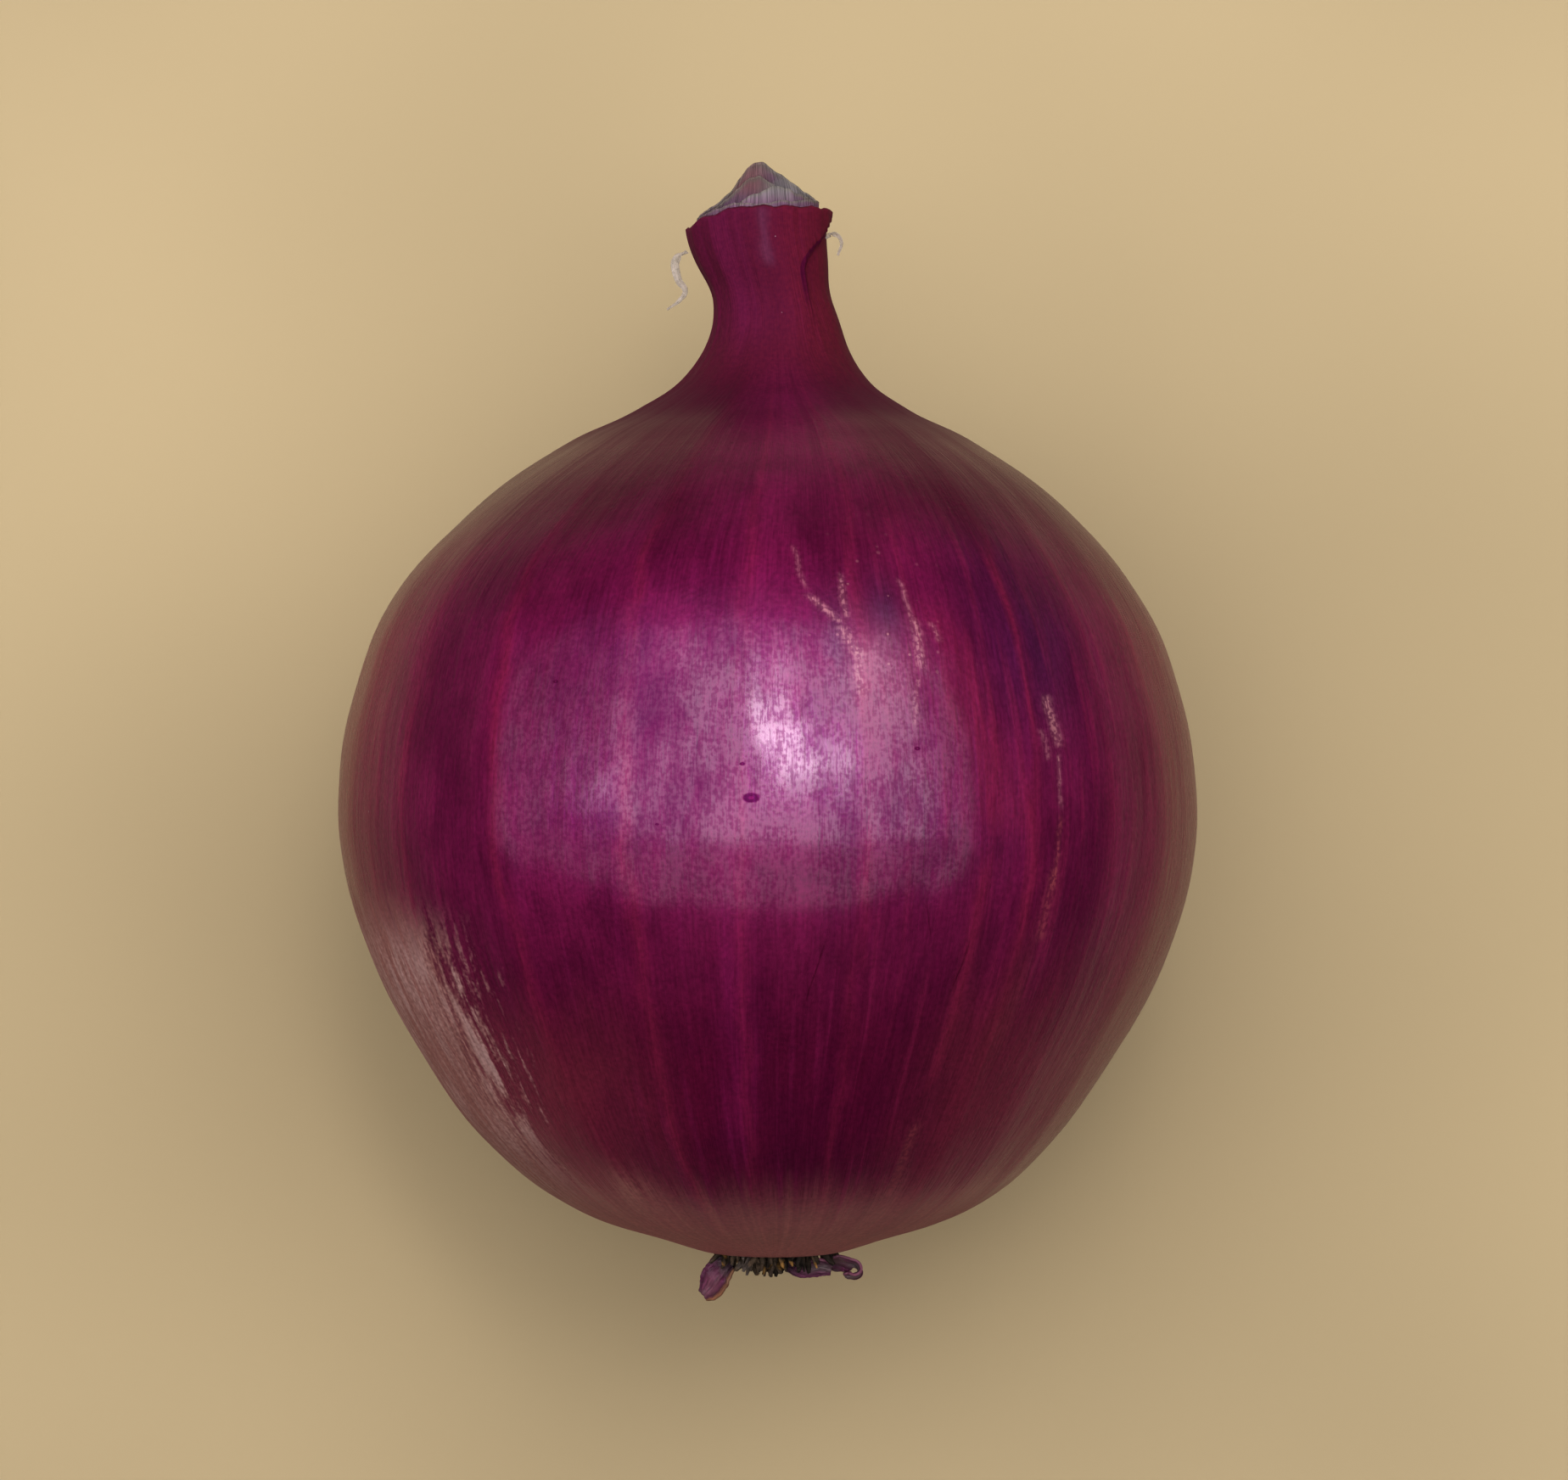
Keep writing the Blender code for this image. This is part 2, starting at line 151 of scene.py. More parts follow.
class Amount:
    """A number that changes over a node tree's shape or surface, and is reckoned with as plain ones are."""

    def __init__(self, socket):
        self.socket = socket

    def to(self, operation, *others):
        sockets = dict(enumerate((self, *others)))
        tree = self.socket.id_data
        return Amount(add_node(tree, "ShaderNodeMath", sockets, operation=operation).outputs[0])

    def __add__(self, other):
        return self.to("ADD", other)

    def __sub__(self, other):
        return self.to("SUBTRACT", other)

    def __mul__(self, other):
        return self.to("MULTIPLY", other)

    def __truediv__(self, other):
        return self.to("DIVIDE", other)

    def __rsub__(self, other):
        return self.to("MULTIPLY_ADD", -1.0, other)

    def __rtruediv__(self, other):
        return self.to("POWER", -1.0) * other

    __radd__ = __add__
    __rmul__ = __mul__

    def cos(self):
        return self.to("COSINE")

    def sin(self):
        return self.to("SINE")

    def size(self):
        return self.to("ABSOLUTE")

    def at_least(self, least):
        return self.to("MAXIMUM", least)

    def ramp(self, start, end):
        """0 before start, 1 past end, and a smooth step between."""
        sockets = dict(enumerate((self, start, end, 0.0, 1.0)))
        tree = self.socket.id_data
        made = add_node(tree, "ShaderNodeMapRange", sockets, interpolation_type="SMOOTHSTEP")
        return Amount(made.outputs[0])

    def bell(self):
        """1 where this is 0, falling smoothly to 0 on both sides past 1."""
        return (self * self * -1.0).to("EXPONENT")

    def turned_from(self, angle):
        """The angle from the other to this one, from half a turn back to half a turn on."""
        return (self - angle).to("WRAP", TURN / 2, -TURN / 2)


def add_node(tree, kind, sockets=(), **settings):
    """Adds a node with these settings, and links or fills each socket given by its name or place."""
    made = tree.nodes.new(kind)
    for name, value in settings.items():
        setattr(made, name, value)
    for key, value in dict(sockets).items():
        if isinstance(value, Amount):
            value = value.socket
        if isinstance(value, bpy.types.NodeSocket):
            tree.links.new(value, made.inputs[key])
        else:
            made.inputs[key].default_value = value
    return made


def split(tree, vector):
    return [Amount(socket) for socket in add_node(tree, "ShaderNodeSeparateXYZ", {0: vector}).outputs]


def joined(tree, x, y, z):
    return add_node(tree, "ShaderNodeCombineXYZ", {0: x, 1: y, 2: z}).outputs[0]


# What noise is multiplied by to spread from -0.5 to 0.5
NOISE_SPREAD = 2.6


def noise(tree, place, scale, detail):
    """Soft noise from about -0.5 to 0.5, and mostly well inside that."""
    sockets = {"Vector": place, "Scale": scale, "Detail": detail}
    return Amount(add_node(tree, "ShaderNodeTexNoise", sockets).outputs[0]) - 0.5


def form_tree(name, sizes):
    """A Geometry Nodes tree with an input for its line or surface, each size and the material."""
    tree = bpy.data.node_groups.new(name, "GeometryNodeTree")
    tree.is_modifier = True
    tree.interface.new_socket("Start", in_out="INPUT", socket_type="NodeSocketGeometry")
    for size, value in sizes.items():
        kind = "NodeSocketInt" if isinstance(value, int) else "NodeSocketFloat"
        tree.interface.new_socket(size, in_out="INPUT", socket_type=kind)
    tree.interface.new_socket("Material", in_out="INPUT", socket_type="NodeSocketMaterial")
    tree.interface.new_socket("Shape", in_out="OUTPUT", socket_type="NodeSocketGeometry")
    given = tree.nodes.new("NodeGroupInput")
    return tree, {socket.name: Amount(socket) for socket in given.outputs if socket.name}


def close_form(tree, given, shape):
    """Ends a form: smooth faces, everything made real, the material set."""
    shape = add_node(tree, "GeometryNodeSetShadeSmooth", {0: shape}).outputs[0]
    shape = add_node(tree, "GeometryNodeRealizeInstances", {0: shape}).outputs[0]
    sockets = {"Geometry": shape, "Material": given["Material"]}
    shape = add_node(tree, "GeometryNodeSetMaterial", sockets).outputs[0]
    add_node(tree, "NodeGroupOutput", {0: shape})


def grown(name, tree, sizes, material, start=None, thickness=0.0):
    """The plain mesh object that a form makes, from a line or surface where it needs one."""
    seed = bpy.data.objects.new(name + " form", start or bpy.data.meshes.new(name))
    bpy.context.scene.collection.objects.link(seed)
    form = seed.modifiers.new("form", "NODES")
    form.node_group = tree
    values = {**sizes, "Material": material}
    for item in tree.interface.items_tree:
        if item.in_out == "INPUT" and item.name in values:
            form[item.identifier] = values[item.name]
    if thickness:
        shell = seed.modifiers.new("thickness", "SOLIDIFY")
        shell.thickness = thickness
        shell.offset = 0.0
    evaluated = seed.evaluated_get(bpy.context.evaluated_depsgraph_get())
    mesh = bpy.data.meshes.new_from_object(evaluated)
    mesh.materials.clear()
    mesh.materials.append(material)
    mesh.polygons.foreach_set("material_index", [0] * len(mesh.polygons))
    bpy.data.objects.remove(seed)
    piece = bpy.data.objects.new(name, mesh)
    bpy.context.scene.collection.objects.link(piece)
    return piece


def smooth_line(name, points, corners=(), widths=None):
    """A curve through the points, smooth but for its corners, with a width at each point."""
    line = bpy.data.curves.new(name, "CURVE")
    line.dimensions = "3D"
    line.resolution_u = 24
    spline = line.splines.new("BEZIER")
    spline.bezier_points.add(len(points) - 1)
    for k, knot in enumerate(spline.bezier_points):
        knot.co = points[k]
        knot.radius = widths[k] if widths else 1.0
        kind = "VECTOR" if k in corners else "AUTO"
        knot.handle_left_type = kind
        knot.handle_right_type = kind
    return line


def grid_of(tree, across, along):
    """A sheet of quads, with how far across and how far along each of its points is, from 0 to 1."""
    sockets = {"Size X": 1.0, "Size Y": 1.0, "Vertices X": across, "Vertices Y": along}
    grid = add_node(tree, "GeometryNodeMeshGrid", sockets)
    place = split(tree, add_node(tree, "GeometryNodeInputPosition").outputs[0])
    return grid, place[0] + 0.5, place[1] + 0.5


def moved_grid(tree, grid, x, y, z, welded=True):
    """The sheet with its points at these places, its map kept, and its seam and ends closed."""
    sockets = {"Geometry": grid.outputs[0], "Name": "UVMap", "Value": grid.outputs[1]}
    mapped = add_node(tree, "GeometryNodeStoreNamedAttribute", sockets, data_type="FLOAT2", domain="CORNER")
    sockets = {"Geometry": mapped.outputs[0], "Position": joined(tree, x, y, z)}
    moved = add_node(tree, "GeometryNodeSetPosition", sockets).outputs[0]
    if not welded:
        return moved
    sockets = {"Geometry": moved, "Distance": 0.00001}
    return add_node(tree, "GeometryNodeMergeByDistance", sockets).outputs[0]


def bend(station):
    """How far the neck and the root end stand aside of the axis."""
    aside = PLATE_SHIFT * (1 - station.ramp(RIM, 0.6 * RIM))
    aside += NECK_FOOT_SHIFT * station.ramp(0.5 * RADIUS, NECK_START)
    return aside - NECK_TIP_RETURN * station.ramp(NECK_BEND_START, LIP)


def lip_run(angle):
    """How far the slanted lip stands past its middle: more at the underside, less at the left."""
    right = angle.cos().at_least(0.0)
    left = (-1.0 * angle.cos()).at_least(0.0)
    top = angle.sin().at_least(0.0)
    under = (-1.0 * angle.sin()).at_least(0.0)
    sides = right * right * LIP_RIGHT - left * left * LIP_LEFT
    return sides + top * top * LIP_TOP + under * under * LIP_UNDER


def wrap_edge(station):
    """The angle at which the skin's own edge lies, where it wraps over itself up the neck."""
    return WRAP_FOOT - station.ramp(WRAP_FULL, LIP) * WRAP_TURN


def make_skin_form():
    tree, given = form_tree("skin form", SKIN_SIZES)
    grid, across, along = grid_of(tree, given["Sides"], given["Rings"])
    angle = (0.75 - across) * TURN
    sockets = {"Curves": given["Start"], "Factor": along}
    outline = add_node(tree, "GeometryNodeSampleCurve", sockets, mode="FACTOR").outputs["Position"]
    station, radius, _ = split(tree, outline)
    on_neck = station.ramp(NECK_START, NECK_WAIST)
    at_lip = station.ramp(NECK_WAIST, LIP)
    around = joined(tree, angle.cos(), station * 12.0, angle.sin())

    on_bulb = (station.ramp(1.02 * RIM, NECK_START) * (TURN / 2)).sin().at_least(0.0).to("SQRT")
    lobes = 1.0
    for waves, size, at in LOBES:
        lobes = ((angle - math.radians(at)) * waves).cos() * size * on_bulb + lobes
    out = radius * lobes
    for at, place, spread, depth in PRESSES:
        lengthwise = (station / RADIUS - place) / spread
        sideways = angle.turned_from(math.radians(at)) / spread
        out -= lengthwise.bell() * sideways.bell() * depth
    fade = (radius / (0.5 * RADIUS)).to("MINIMUM", 1.0) * given["Rib height"]
    for root_angle, neck_angle, strength in VEINS:
        middle = math.radians(root_angle + neck_angle) / 2
        lean = math.radians(neck_angle - root_angle) / (2 * RADIUS)
        off = (angle - station * lean).turned_from(middle) / RIB_WIDTH
        out += off.bell() * fade * strength
    out += noise(tree, around, 9.0, 3.0) * fade
    out += noise(tree, around, 2.6, 1.0) * fade * given["Waviness"]

    # Up the neck: soft lengthwise pleats, and the skin wrapped over itself
    folds = noise(tree, joined(tree, angle.cos() * 3.2, station * 60.0, angle.sin() * 3.2), 1.0, 1.0)
    out += folds * on_neck * given["Fold depth"] * 2.2
    turned = (angle - wrap_edge(station)).to("WRAP", TURN, 0.0) / TURN
    wrapped = (0.5 - turned) * given["Wrap step"] * station.ramp(WRAP_START, WRAP_FULL)
    flare = at_lip * angle.cos().size().to("POWER", 3.0) * LIP_FLARE
    out += wrapped + flare

    flat = 1 + (given["Neck flatness"] - 1) * on_neck
    ragged = noise(tree, joined(tree, angle.cos(), angle.sin(), 0.0), 3.0, 3.0) * LIP_TEARS
    x = bend(station) + out * angle.cos() + AXIS_X
    y = station + at_lip * (lip_run(angle) + ragged) + WIDEST_Y
    z = (flat * out * angle.sin() + AXIS_Z).at_least(0.0)
    close_form(tree, given, moved_grid(tree, grid, x, y, z))
    return tree


def effect_group(name, inputs, outputs):
    """A shader node group with these inputs and outputs, to be filled."""
    tree = bpy.data.node_groups.new(name, "ShaderNodeTree")
    for socket, value in inputs.items():
        kind = "NodeSocketVector" if isinstance(value, tuple) else "NodeSocketFloat"
        made = tree.interface.new_socket(socket, in_out="INPUT", socket_type=kind)
        made.default_value = value
    for socket, kind in outputs.items():
        tree.interface.new_socket(socket, in_out="OUTPUT", socket_type=kind)
    given = tree.nodes.new("NodeGroupInput")
    put_out = tree.nodes.new("NodeGroupOutput")
    return tree, {socket.name: Amount(socket) for socket in given.outputs if socket.name}, put_out


def make_place_group():
    """Where a point of the onion is: its angle round the axis, its station and its round place."""
    outputs = {"Angle": "NodeSocketFloat", "Station": "NodeSocketFloat", "Round": "NodeSocketVector"}
    tree, _, put_out = effect_group("place on the onion", {}, outputs)
    spot = add_node(tree, "ShaderNodeTexCoord").outputs["Object"]
    x, y, z = split(tree, spot)
    station = y - WIDEST_Y
    angle = (z - AXIS_Z).to("ARCTAN2", x - AXIS_X - bend(station))
    tree.links.new(angle.socket, put_out.inputs["Angle"])
    tree.links.new(station.socket, put_out.inputs["Station"])
    around = joined(tree, angle.cos(), station, angle.sin())
    tree.links.new(around, put_out.inputs["Round"])
    return tree


def make_fibre_group():
    """Fibres that run from root to neck: Fineness is how many fit round, Length how long they are."""
    inputs = {"Round": (0.0, 0.0, 0.0), "Fineness": 100.0, "Length": 0.006, "Detail": 2.0}
    tree, given, put_out = effect_group("lengthwise fibres", inputs, {"Value": "NodeSocketFloat"})
    x, station, z = split(tree, given["Round"])
    fine = given["Fineness"]
    place = joined(tree, x * fine, station / given["Length"], z * fine)
    value = noise(tree, place, 1.0, given["Detail"]) * NOISE_SPREAD + 0.5
    tree.links.new(value.to("MINIMUM", 1.0).at_least(0.0).socket, put_out.inputs["Value"])
    return tree


def make_speck_group():
    """Tiny scattered specks of dust, 1 on each and 0 between."""
    inputs = {"Spacing": 0.002, "Share": 0.5, "Size": 0.05}
    tree, given, put_out = effect_group("specks", inputs, {"Value": "NodeSocketFloat"})
    spot = add_node(tree, "ShaderNodeTexCoord").outputs["Object"]
    sockets = {"Vector": spot, "Scale": 1 / given["Spacing"].to("MAXIMUM", 0.0001)}
    cells = add_node(tree, "ShaderNodeTexVoronoi", sockets)
    drawn, second, _ = split(tree, cells.outputs["Color"])
    near = Amount(cells.outputs["Distance"]) / (given["Size"] * (second + 0.5))
    here = near.ramp(1.0, 0.5) * drawn.to("LESS_THAN", given["Share"])
    tree.links.new(here.socket, put_out.inputs["Value"])
    return tree


place_group = make_place_group()
fibre_group = make_fibre_group()
speck_group = make_speck_group()


class Finish:
    """A surface's material while it is built up: where each point is, and colours laid over colours."""

    def __init__(self, name, **constants):
        self.material = bpy.data.materials.new(name)
        self.material.use_nodes = True
        self.tree = self.material.node_tree
        self.shader = self.tree.nodes["Principled BSDF"]
        for socket, value in constants.items():
            self.shader.inputs[socket.replace("_", " ")].default_value = value
        where = self.group(place_group)
        self.angle = Amount(where.outputs["Angle"])
        self.station = Amount(where.outputs["Station"])
        self.round = where.outputs["Round"]
        self.wander = self.fibres(3.0, 0.004) - 0.5
        self.colour = None

    def group(self, group, **inputs):
        made = self.tree.nodes.new("ShaderNodeGroup")
        made.node_tree = group
        for name, value in inputs.items():
            if isinstance(value, bpy.types.NodeSocket):
                self.tree.links.new(value, made.inputs[name])
            else:
                made.inputs[name].default_value = value
        return made

    def fibres(self, fineness, length, detail=2.0):
        inputs = {"Round": self.round, "Fineness": fineness, "Length": length, "Detail": detail}
        return Amount(self.group(fibre_group, **inputs).outputs[0])

    def specks(self, spacing, share, size):
        return Amount(self.group(speck_group, Spacing=spacing, Share=share, Size=size).outputs[0])

    def patches(self, scale, detail, stretch=1.0):
        """Soft irregular patches, 0 to 1, longer along the onion where stretch is over 1."""
        spot = add_node(self.tree, "ShaderNodeTexCoord").outputs["Object"]
        x, y, z = split(self.tree, spot)
        value = noise(self.tree, joined(self.tree, x, y / stretch, z), scale, detail)
        return (value * NOISE_SPREAD + 0.5).to("MINIMUM", 1.0).at_least(0.0)

    def spot(self, angle, station, across, along):
        """A soft oval mark: its middle in degrees and metres, its half sizes the same."""
        sideways = self.angle.turned_from(math.radians(angle)) / math.radians(across)
        lengthwise = (self.station - station) / along
        return sideways.bell() * lengthwise.bell()

    def streak(self, start, end, width, wander):
        """A thin lengthwise mark from one (angle, station) to the other, width in degrees."""
        slope = math.radians(end[0] - start[0]) / (end[1] - start[1])
        straight = (self.station - start[1]) * slope + math.radians(start[0])
        path = straight + self.wander * math.radians(wander)
        half = abs(end[1] - start[1]) / 2
        soft = 0.30 * half + 0.0002
        ends = (self.station - (start[1] + end[1]) / 2).size().ramp(half, half - soft)
        return (self.angle.turned_from(path) / math.radians(width)).bell() * ends

    def lay(self, colour, share, blend="MIX"):
        """Lays a colour, or a grey amount, over the colour so far."""
        if isinstance(colour, tuple):
            colour = (*colour, 1.0)
        sockets = {0: share, 6: self.colour, 7: colour}
        mixed = add_node(self.tree, "ShaderNodeMix", sockets, data_type="RGBA", blend_type=blend)
        self.colour = mixed.outputs[2]

    def start(self, colour):
        base = self.tree.nodes.new("ShaderNodeRGB")
        base.outputs[0].default_value = (*colour, 1.0)
        self.colour = base.outputs[0]

    def done(self, height, depth, roughness, coat=None):
        """Links the colour, the relief, the roughness and how much of the gloss coat shows."""
        self.tree.links.new(self.colour, self.shader.inputs["Base Color"])
        bump = add_node(self.tree, "ShaderNodeBump", {"Height": height, "Distance": depth})
        self.tree.links.new(bump.outputs[0], self.shader.inputs["Normal"])
        self.tree.links.new(roughness.socket, self.shader.inputs["Roughness"])
        if coat:
            self.tree.links.new(coat.socket, self.shader.inputs["Coat Weight"])
        return self.material


# Skin colours, from the clear crimson purple of the fleshy leaf under it to the dried, dead bits
CRIMSON_PURPLE = (0.166, 0.0100, 0.065)
ROOT_PURPLE_AND_SHADE = (0.094, 0.0042, 0.028)
DEEP_PURPLE = (0.078, 0.0035, 0.030)
VEIN_MAGENTA = (0.210, 0.0120, 0.090)
VEIN_RED = (0.235, 0.0180, 0.062)
VIOLET = (0.058, 0.0120, 0.062)
NECK_CRIMSON = (0.088, 0.0100, 0.013)
NECK_DARK = (0.108, 0.0105, 0.031)
NECK_RED = (0.122, 0.0120, 0.018)
NECK_MAUVE_FOLD_HIGHLIGHT = (0.150, 0.060, 0.100)
SHOULDER_DARK = (0.050, 0.0015, 0.013)
SIDE_BROWN_AND_REFLECTION = (0.140, 0.0200, 0.028)
LOW_CRIMSON = (0.165, 0.0240, 0.045)
RIM_PINK_BROWN = (0.390, 0.145, 0.132)
SCUFF_BROWN = (0.330, 0.168, 0.134)
SCUFF_PALE = (0.560, 0.420, 0.400)
SCAB_PALE = (0.420, 0.200, 0.215)
SCRATCH_ORANGE = (0.280, 0.070, 0.075)
BRUISE_DARK = (0.070, 0.0110, 0.052)
PIT_DARK_AND_GAP_SHADE = (0.060, 0.0020, 0.016)
DUST = (0.50, 0.40, 0.42)

# Marks on the skin, each from one place to another, angle in degrees and station in millimetres,
# with its half width in degrees and its strength
MM = 0.001
SCABS = (
    ((86.3, 23.0), (83.5, 18.8), 0.22, 0.45),
    ((83.6, 18.9), (79.2, 16.0), 0.34, 1.00),
    ((79.6, 16.3), (77.6, 13.2), 0.42, 1.00),
    ((78.0, 13.8), (77.3, 10.2), 0.28, 0.80),
    ((78.6, 20.6), (78.6, 16.2), 0.22, 0.80),
    ((70.2, 20.2), (68.7, 16.0), 0.22, 0.70),
    ((68.9, 17.0), (69.4, 12.2), 0.36, 0.90),
    ((66.4, 16.6), (65.8, 14.6), 0.26, 0.60),
    ((69.4, 12.4), (70.5, 7.8), 0.18, 0.60),
)
SCRATCHES = (
    ((50.2, 10.9), (49.5, 6.0), 0.42, 1.00),
    ((52.4, 8.0), (51.4, 5.0), 0.30, 0.50),
    ((49.6, 6.2), (49.4, 1.0), 0.18, 0.80),
)
ORANGE_SCRATCHES = (
    ((49.4, 1.4), (50.8, -5.7), 0.22, 0.70),
    ((50.6, -3.0), (50.9, -10.0), 0.45, 0.60),
    ((62.6, -24.0), (62.2, -31.5), 0.50, 0.60),
)
CRACKS = (
    ((83.1, 5.0), (83.0, -5.4), 0.09, 1.0),
    ((77.3, 6.0), (77.2, -1.2), 0.08, 1.0),
    ((69.7, 6.0), (69.9, -4.8), 0.08, 1.0),
    ((69.3, -5.5), (67.6, -9.1), 0.10, 1.0),
    ((62.0, -9.2), (63.4, -13.6), 0.12, 1.0),
    ((81.7, -8.9), (84.2, -14.6), 0.10, 1.0),
    ((98.2, 10.0), (98.0, 3.0), 0.07, 1.0),
)
# Each pit: its angle in degrees, its station and half width in millimetres
PITS = (
    (91.4, 2.32, 0.44),
    (92.5, 5.01, 0.14),
    (70.5, 6.22, 0.17),
    (118.0, 11.62, 0.16),
    (103.0, 0.20, 0.10),
)


def lay_purple(look):
    """The skin's purple: deeper and redder towards the root end, partly painted shade, darker bands and
    clouds, reddish veins, a violet patch at the upper right.
    """
    angle, station = look.angle, look.station
    bands, clouds, strands = look.bands, look.clouds, look.strands
    look.start(CRIMSON_PURPLE)
    # Deeper, redder purple towards the root end: partly the skin's own colour, partly painted shade away
    # from the light
    look.lay(ROOT_PURPLE_AND_SHADE, station.ramp(-0.002, -0.021) * 0.85)
    look.lay(DEEP_PURPLE, bands.ramp(0.75, 0.10) * 0.40)
    look.lay(DEEP_PURPLE, clouds.ramp(0.65, 0.05) * 0.60)
    look.lay(DEEP_PURPLE, look.patches(330.0, 3.0, 1.5).ramp(0.55, 0.10) * 0.35)
    look.lay(VEIN_MAGENTA, strands.ramp(0.60, 1.0) * 0.20)
    look.lay(VEIN_RED, look.streak((66.5, 0.0195), (57.0, -0.0020), 3.6, 1.5) * (0.20 + strands * 0.35))
    look.lay(VEIN_MAGENTA, look.streak((94.5, -0.0300), (92.5, 0.0075), 2.7, 0.8) * (0.15 + strands * 0.40))
    look.lay(VEIN_RED, look.streak((61.2, -0.0010), (62.6, -0.0230), 1.0, 0.5) * 0.50)
    look.lay(VIOLET, look.spot(51.0, 0.0170, 8.5, 0.0095) * (0.55 + clouds * 0.35))
    look.lay(DEEP_PURPLE, look.spot(113.0, 0.0120, 10.0, 0.0085) * (0.30 + bands * 0.25))
    wavy = angle - look.wander * math.radians(1.3)
    veins = 0.0
    for root_angle, neck_angle, strength in VEINS:
        lean = math.radians(neck_angle - root_angle) / (LIP - RIM)
        off = (wavy - station * lean).turned_from(math.radians(root_angle) - RIM * lean)
        veins = (off / VEIN_WIDTH).bell() * strength + veins
    look.lay(VEIN_RED, veins * (0.20 + strands * 0.70) * 0.66)
    off_left = angle.turned_from(math.radians(108)).size()
    look.lay(VEIN_RED, off_left.ramp(0.25, 0.75) * strands.ramp(0.5, 1.0) * 0.25)


def lay_shoulders(look):
    """Browner shoulders, sides browner partly from drier skin and partly from a painted warm reflection,
    and the pinkish brown rim round the root plate.
    """
    angle, station = look.angle, look.station
    ragged = station + look.bands * 0.004
    off_middle = angle.turned_from(math.radians(86)).size()
    # The sides are laid browner: partly drier skin, partly a painted reflection of a warm floor
    side = (angle.turned_from(TURN / 4).size() - TURN / 4).ramp(-0.80, -0.30)
    look.lay(SIDE_BROWN_AND_REFLECTION, side * (0.60 + look.bands * 0.40))
    low_side = (station + look.bands * 0.006).ramp(-0.0060, -0.0190) * off_middle.ramp(0.22, 0.60)
    look.lay(LOW_CRIMSON, low_side * (0.45 + look.clouds * 0.50))
    look.lay(SHOULDER_DARK, station.ramp(0.0180, 0.0320) * 0.30)
    look.lay(SHOULDER_DARK, ragged.ramp(0.0230, 0.0310) * off_middle.ramp(0.0, 0.55) * 0.85)
    look.lay(SHOULDER_DARK, ragged.ramp(0.0160, 0.0230) * off_middle.ramp(0.30, 0.80) * 0.5)
    rim = (station + look.strands * 0.0012 + look.bands * 0.0015).ramp(-0.0270, -0.0362)
    look.lay(RIM_PINK_BROWN, rim * 0.95)


def lay_neck(look):
    """The neck's dull crimson, darker at the left, a pale mauve painted highlight along a fold, and painted
    shade in the gap by the wrap's edge.
    """
    angle, station = look.angle, look.station
    on_neck = station.ramp(0.036, 0.045)
    dark_side = angle.turned_from(math.radians(150)).size().ramp(1.05, 0.4)
    red_side = angle.turned_from(math.radians(38)).size().ramp(0.9, 0.3)
    look.lay(NECK_CRIMSON, station.ramp(0.033, 0.042) * 0.9)
    look.lay(NECK_DARK, on_neck * dark_side * 0.9)
    look.lay(NECK_RED, on_neck * red_side * 0.9)
    # A pale mauve streak: painted highlight along the crest of a fold in the neck skin
    look.lay(NECK_MAUVE_FOLD_HIGHLIGHT, look.streak((88.0, 0.0475), (84.0, 0.0535), 6.0, 6.0) * 0.35)
    # Painted shade: a dark line beside the wrap's edge, where the overlapping skin shades the neck
    past_edge = angle.turned_from(wrap_edge(station)) / math.radians(14)
    wrap_gap_shade = past_edge.ramp(-1.0, -0.1) * past_edge.ramp(0.05, 0.0) * station.ramp(0.0435, 0.0470)
    look.lay(PIT_DARK_AND_GAP_SHADE, wrap_gap_shade * 0.85)


def lay_scuffs(look):
    """The scuffed patch of dead older skin at the lower left, whose mask it gives, and a small one."""
    angle, station = look.angle, look.station
    threads = look.fibres(48.0, 0.0045, 2.0) * 0.55 + look.cells * 0.15 + look.strands * 0.30
    fray = (threads - 0.5) * 0.40 + (look.flecks - 0.5) * 0.12
    inner = (angle + fray).ramp(math.radians(134), math.radians(146))
    outer = angle.turned_from(math.radians(160)).size().ramp(math.radians(44), math.radians(32))
    ends = (station + fray * 0.012).ramp(-0.0050, -0.0110) * (station - fray * 0.02).ramp(-0.0350, -0.0270)
    scuff = inner.to("MAXIMUM", angle.to("LESS_THAN", 0.0)) * outer * ends
    look.lay(SCUFF_BROWN, scuff * 0.80)
    look.lay(SCUFF_PALE, scuff * threads.ramp(0.25, 0.85) * (0.18 + look.clouds * 0.42))
    small = look.spot(122.0, -0.0307, 5.5, 0.0019) * threads.ramp(0.15, 0.7)
    look.lay(SCUFF_BROWN, small * 0.55)
    return scuff


def marked(look, marks, widening, wander):
    """The mask of a group of thin marks: each from one place to the other, with its width and strength."""
    mask = 0.0
    for (from_angle, from_mm), (to_angle, to_mm), width, strength in marks:
        start = (from_angle, from_mm * MM)
        end = (to_angle, to_mm * MM)
        mask = look.streak(start, end, widening * width, wander) * strength + mask
    return mask


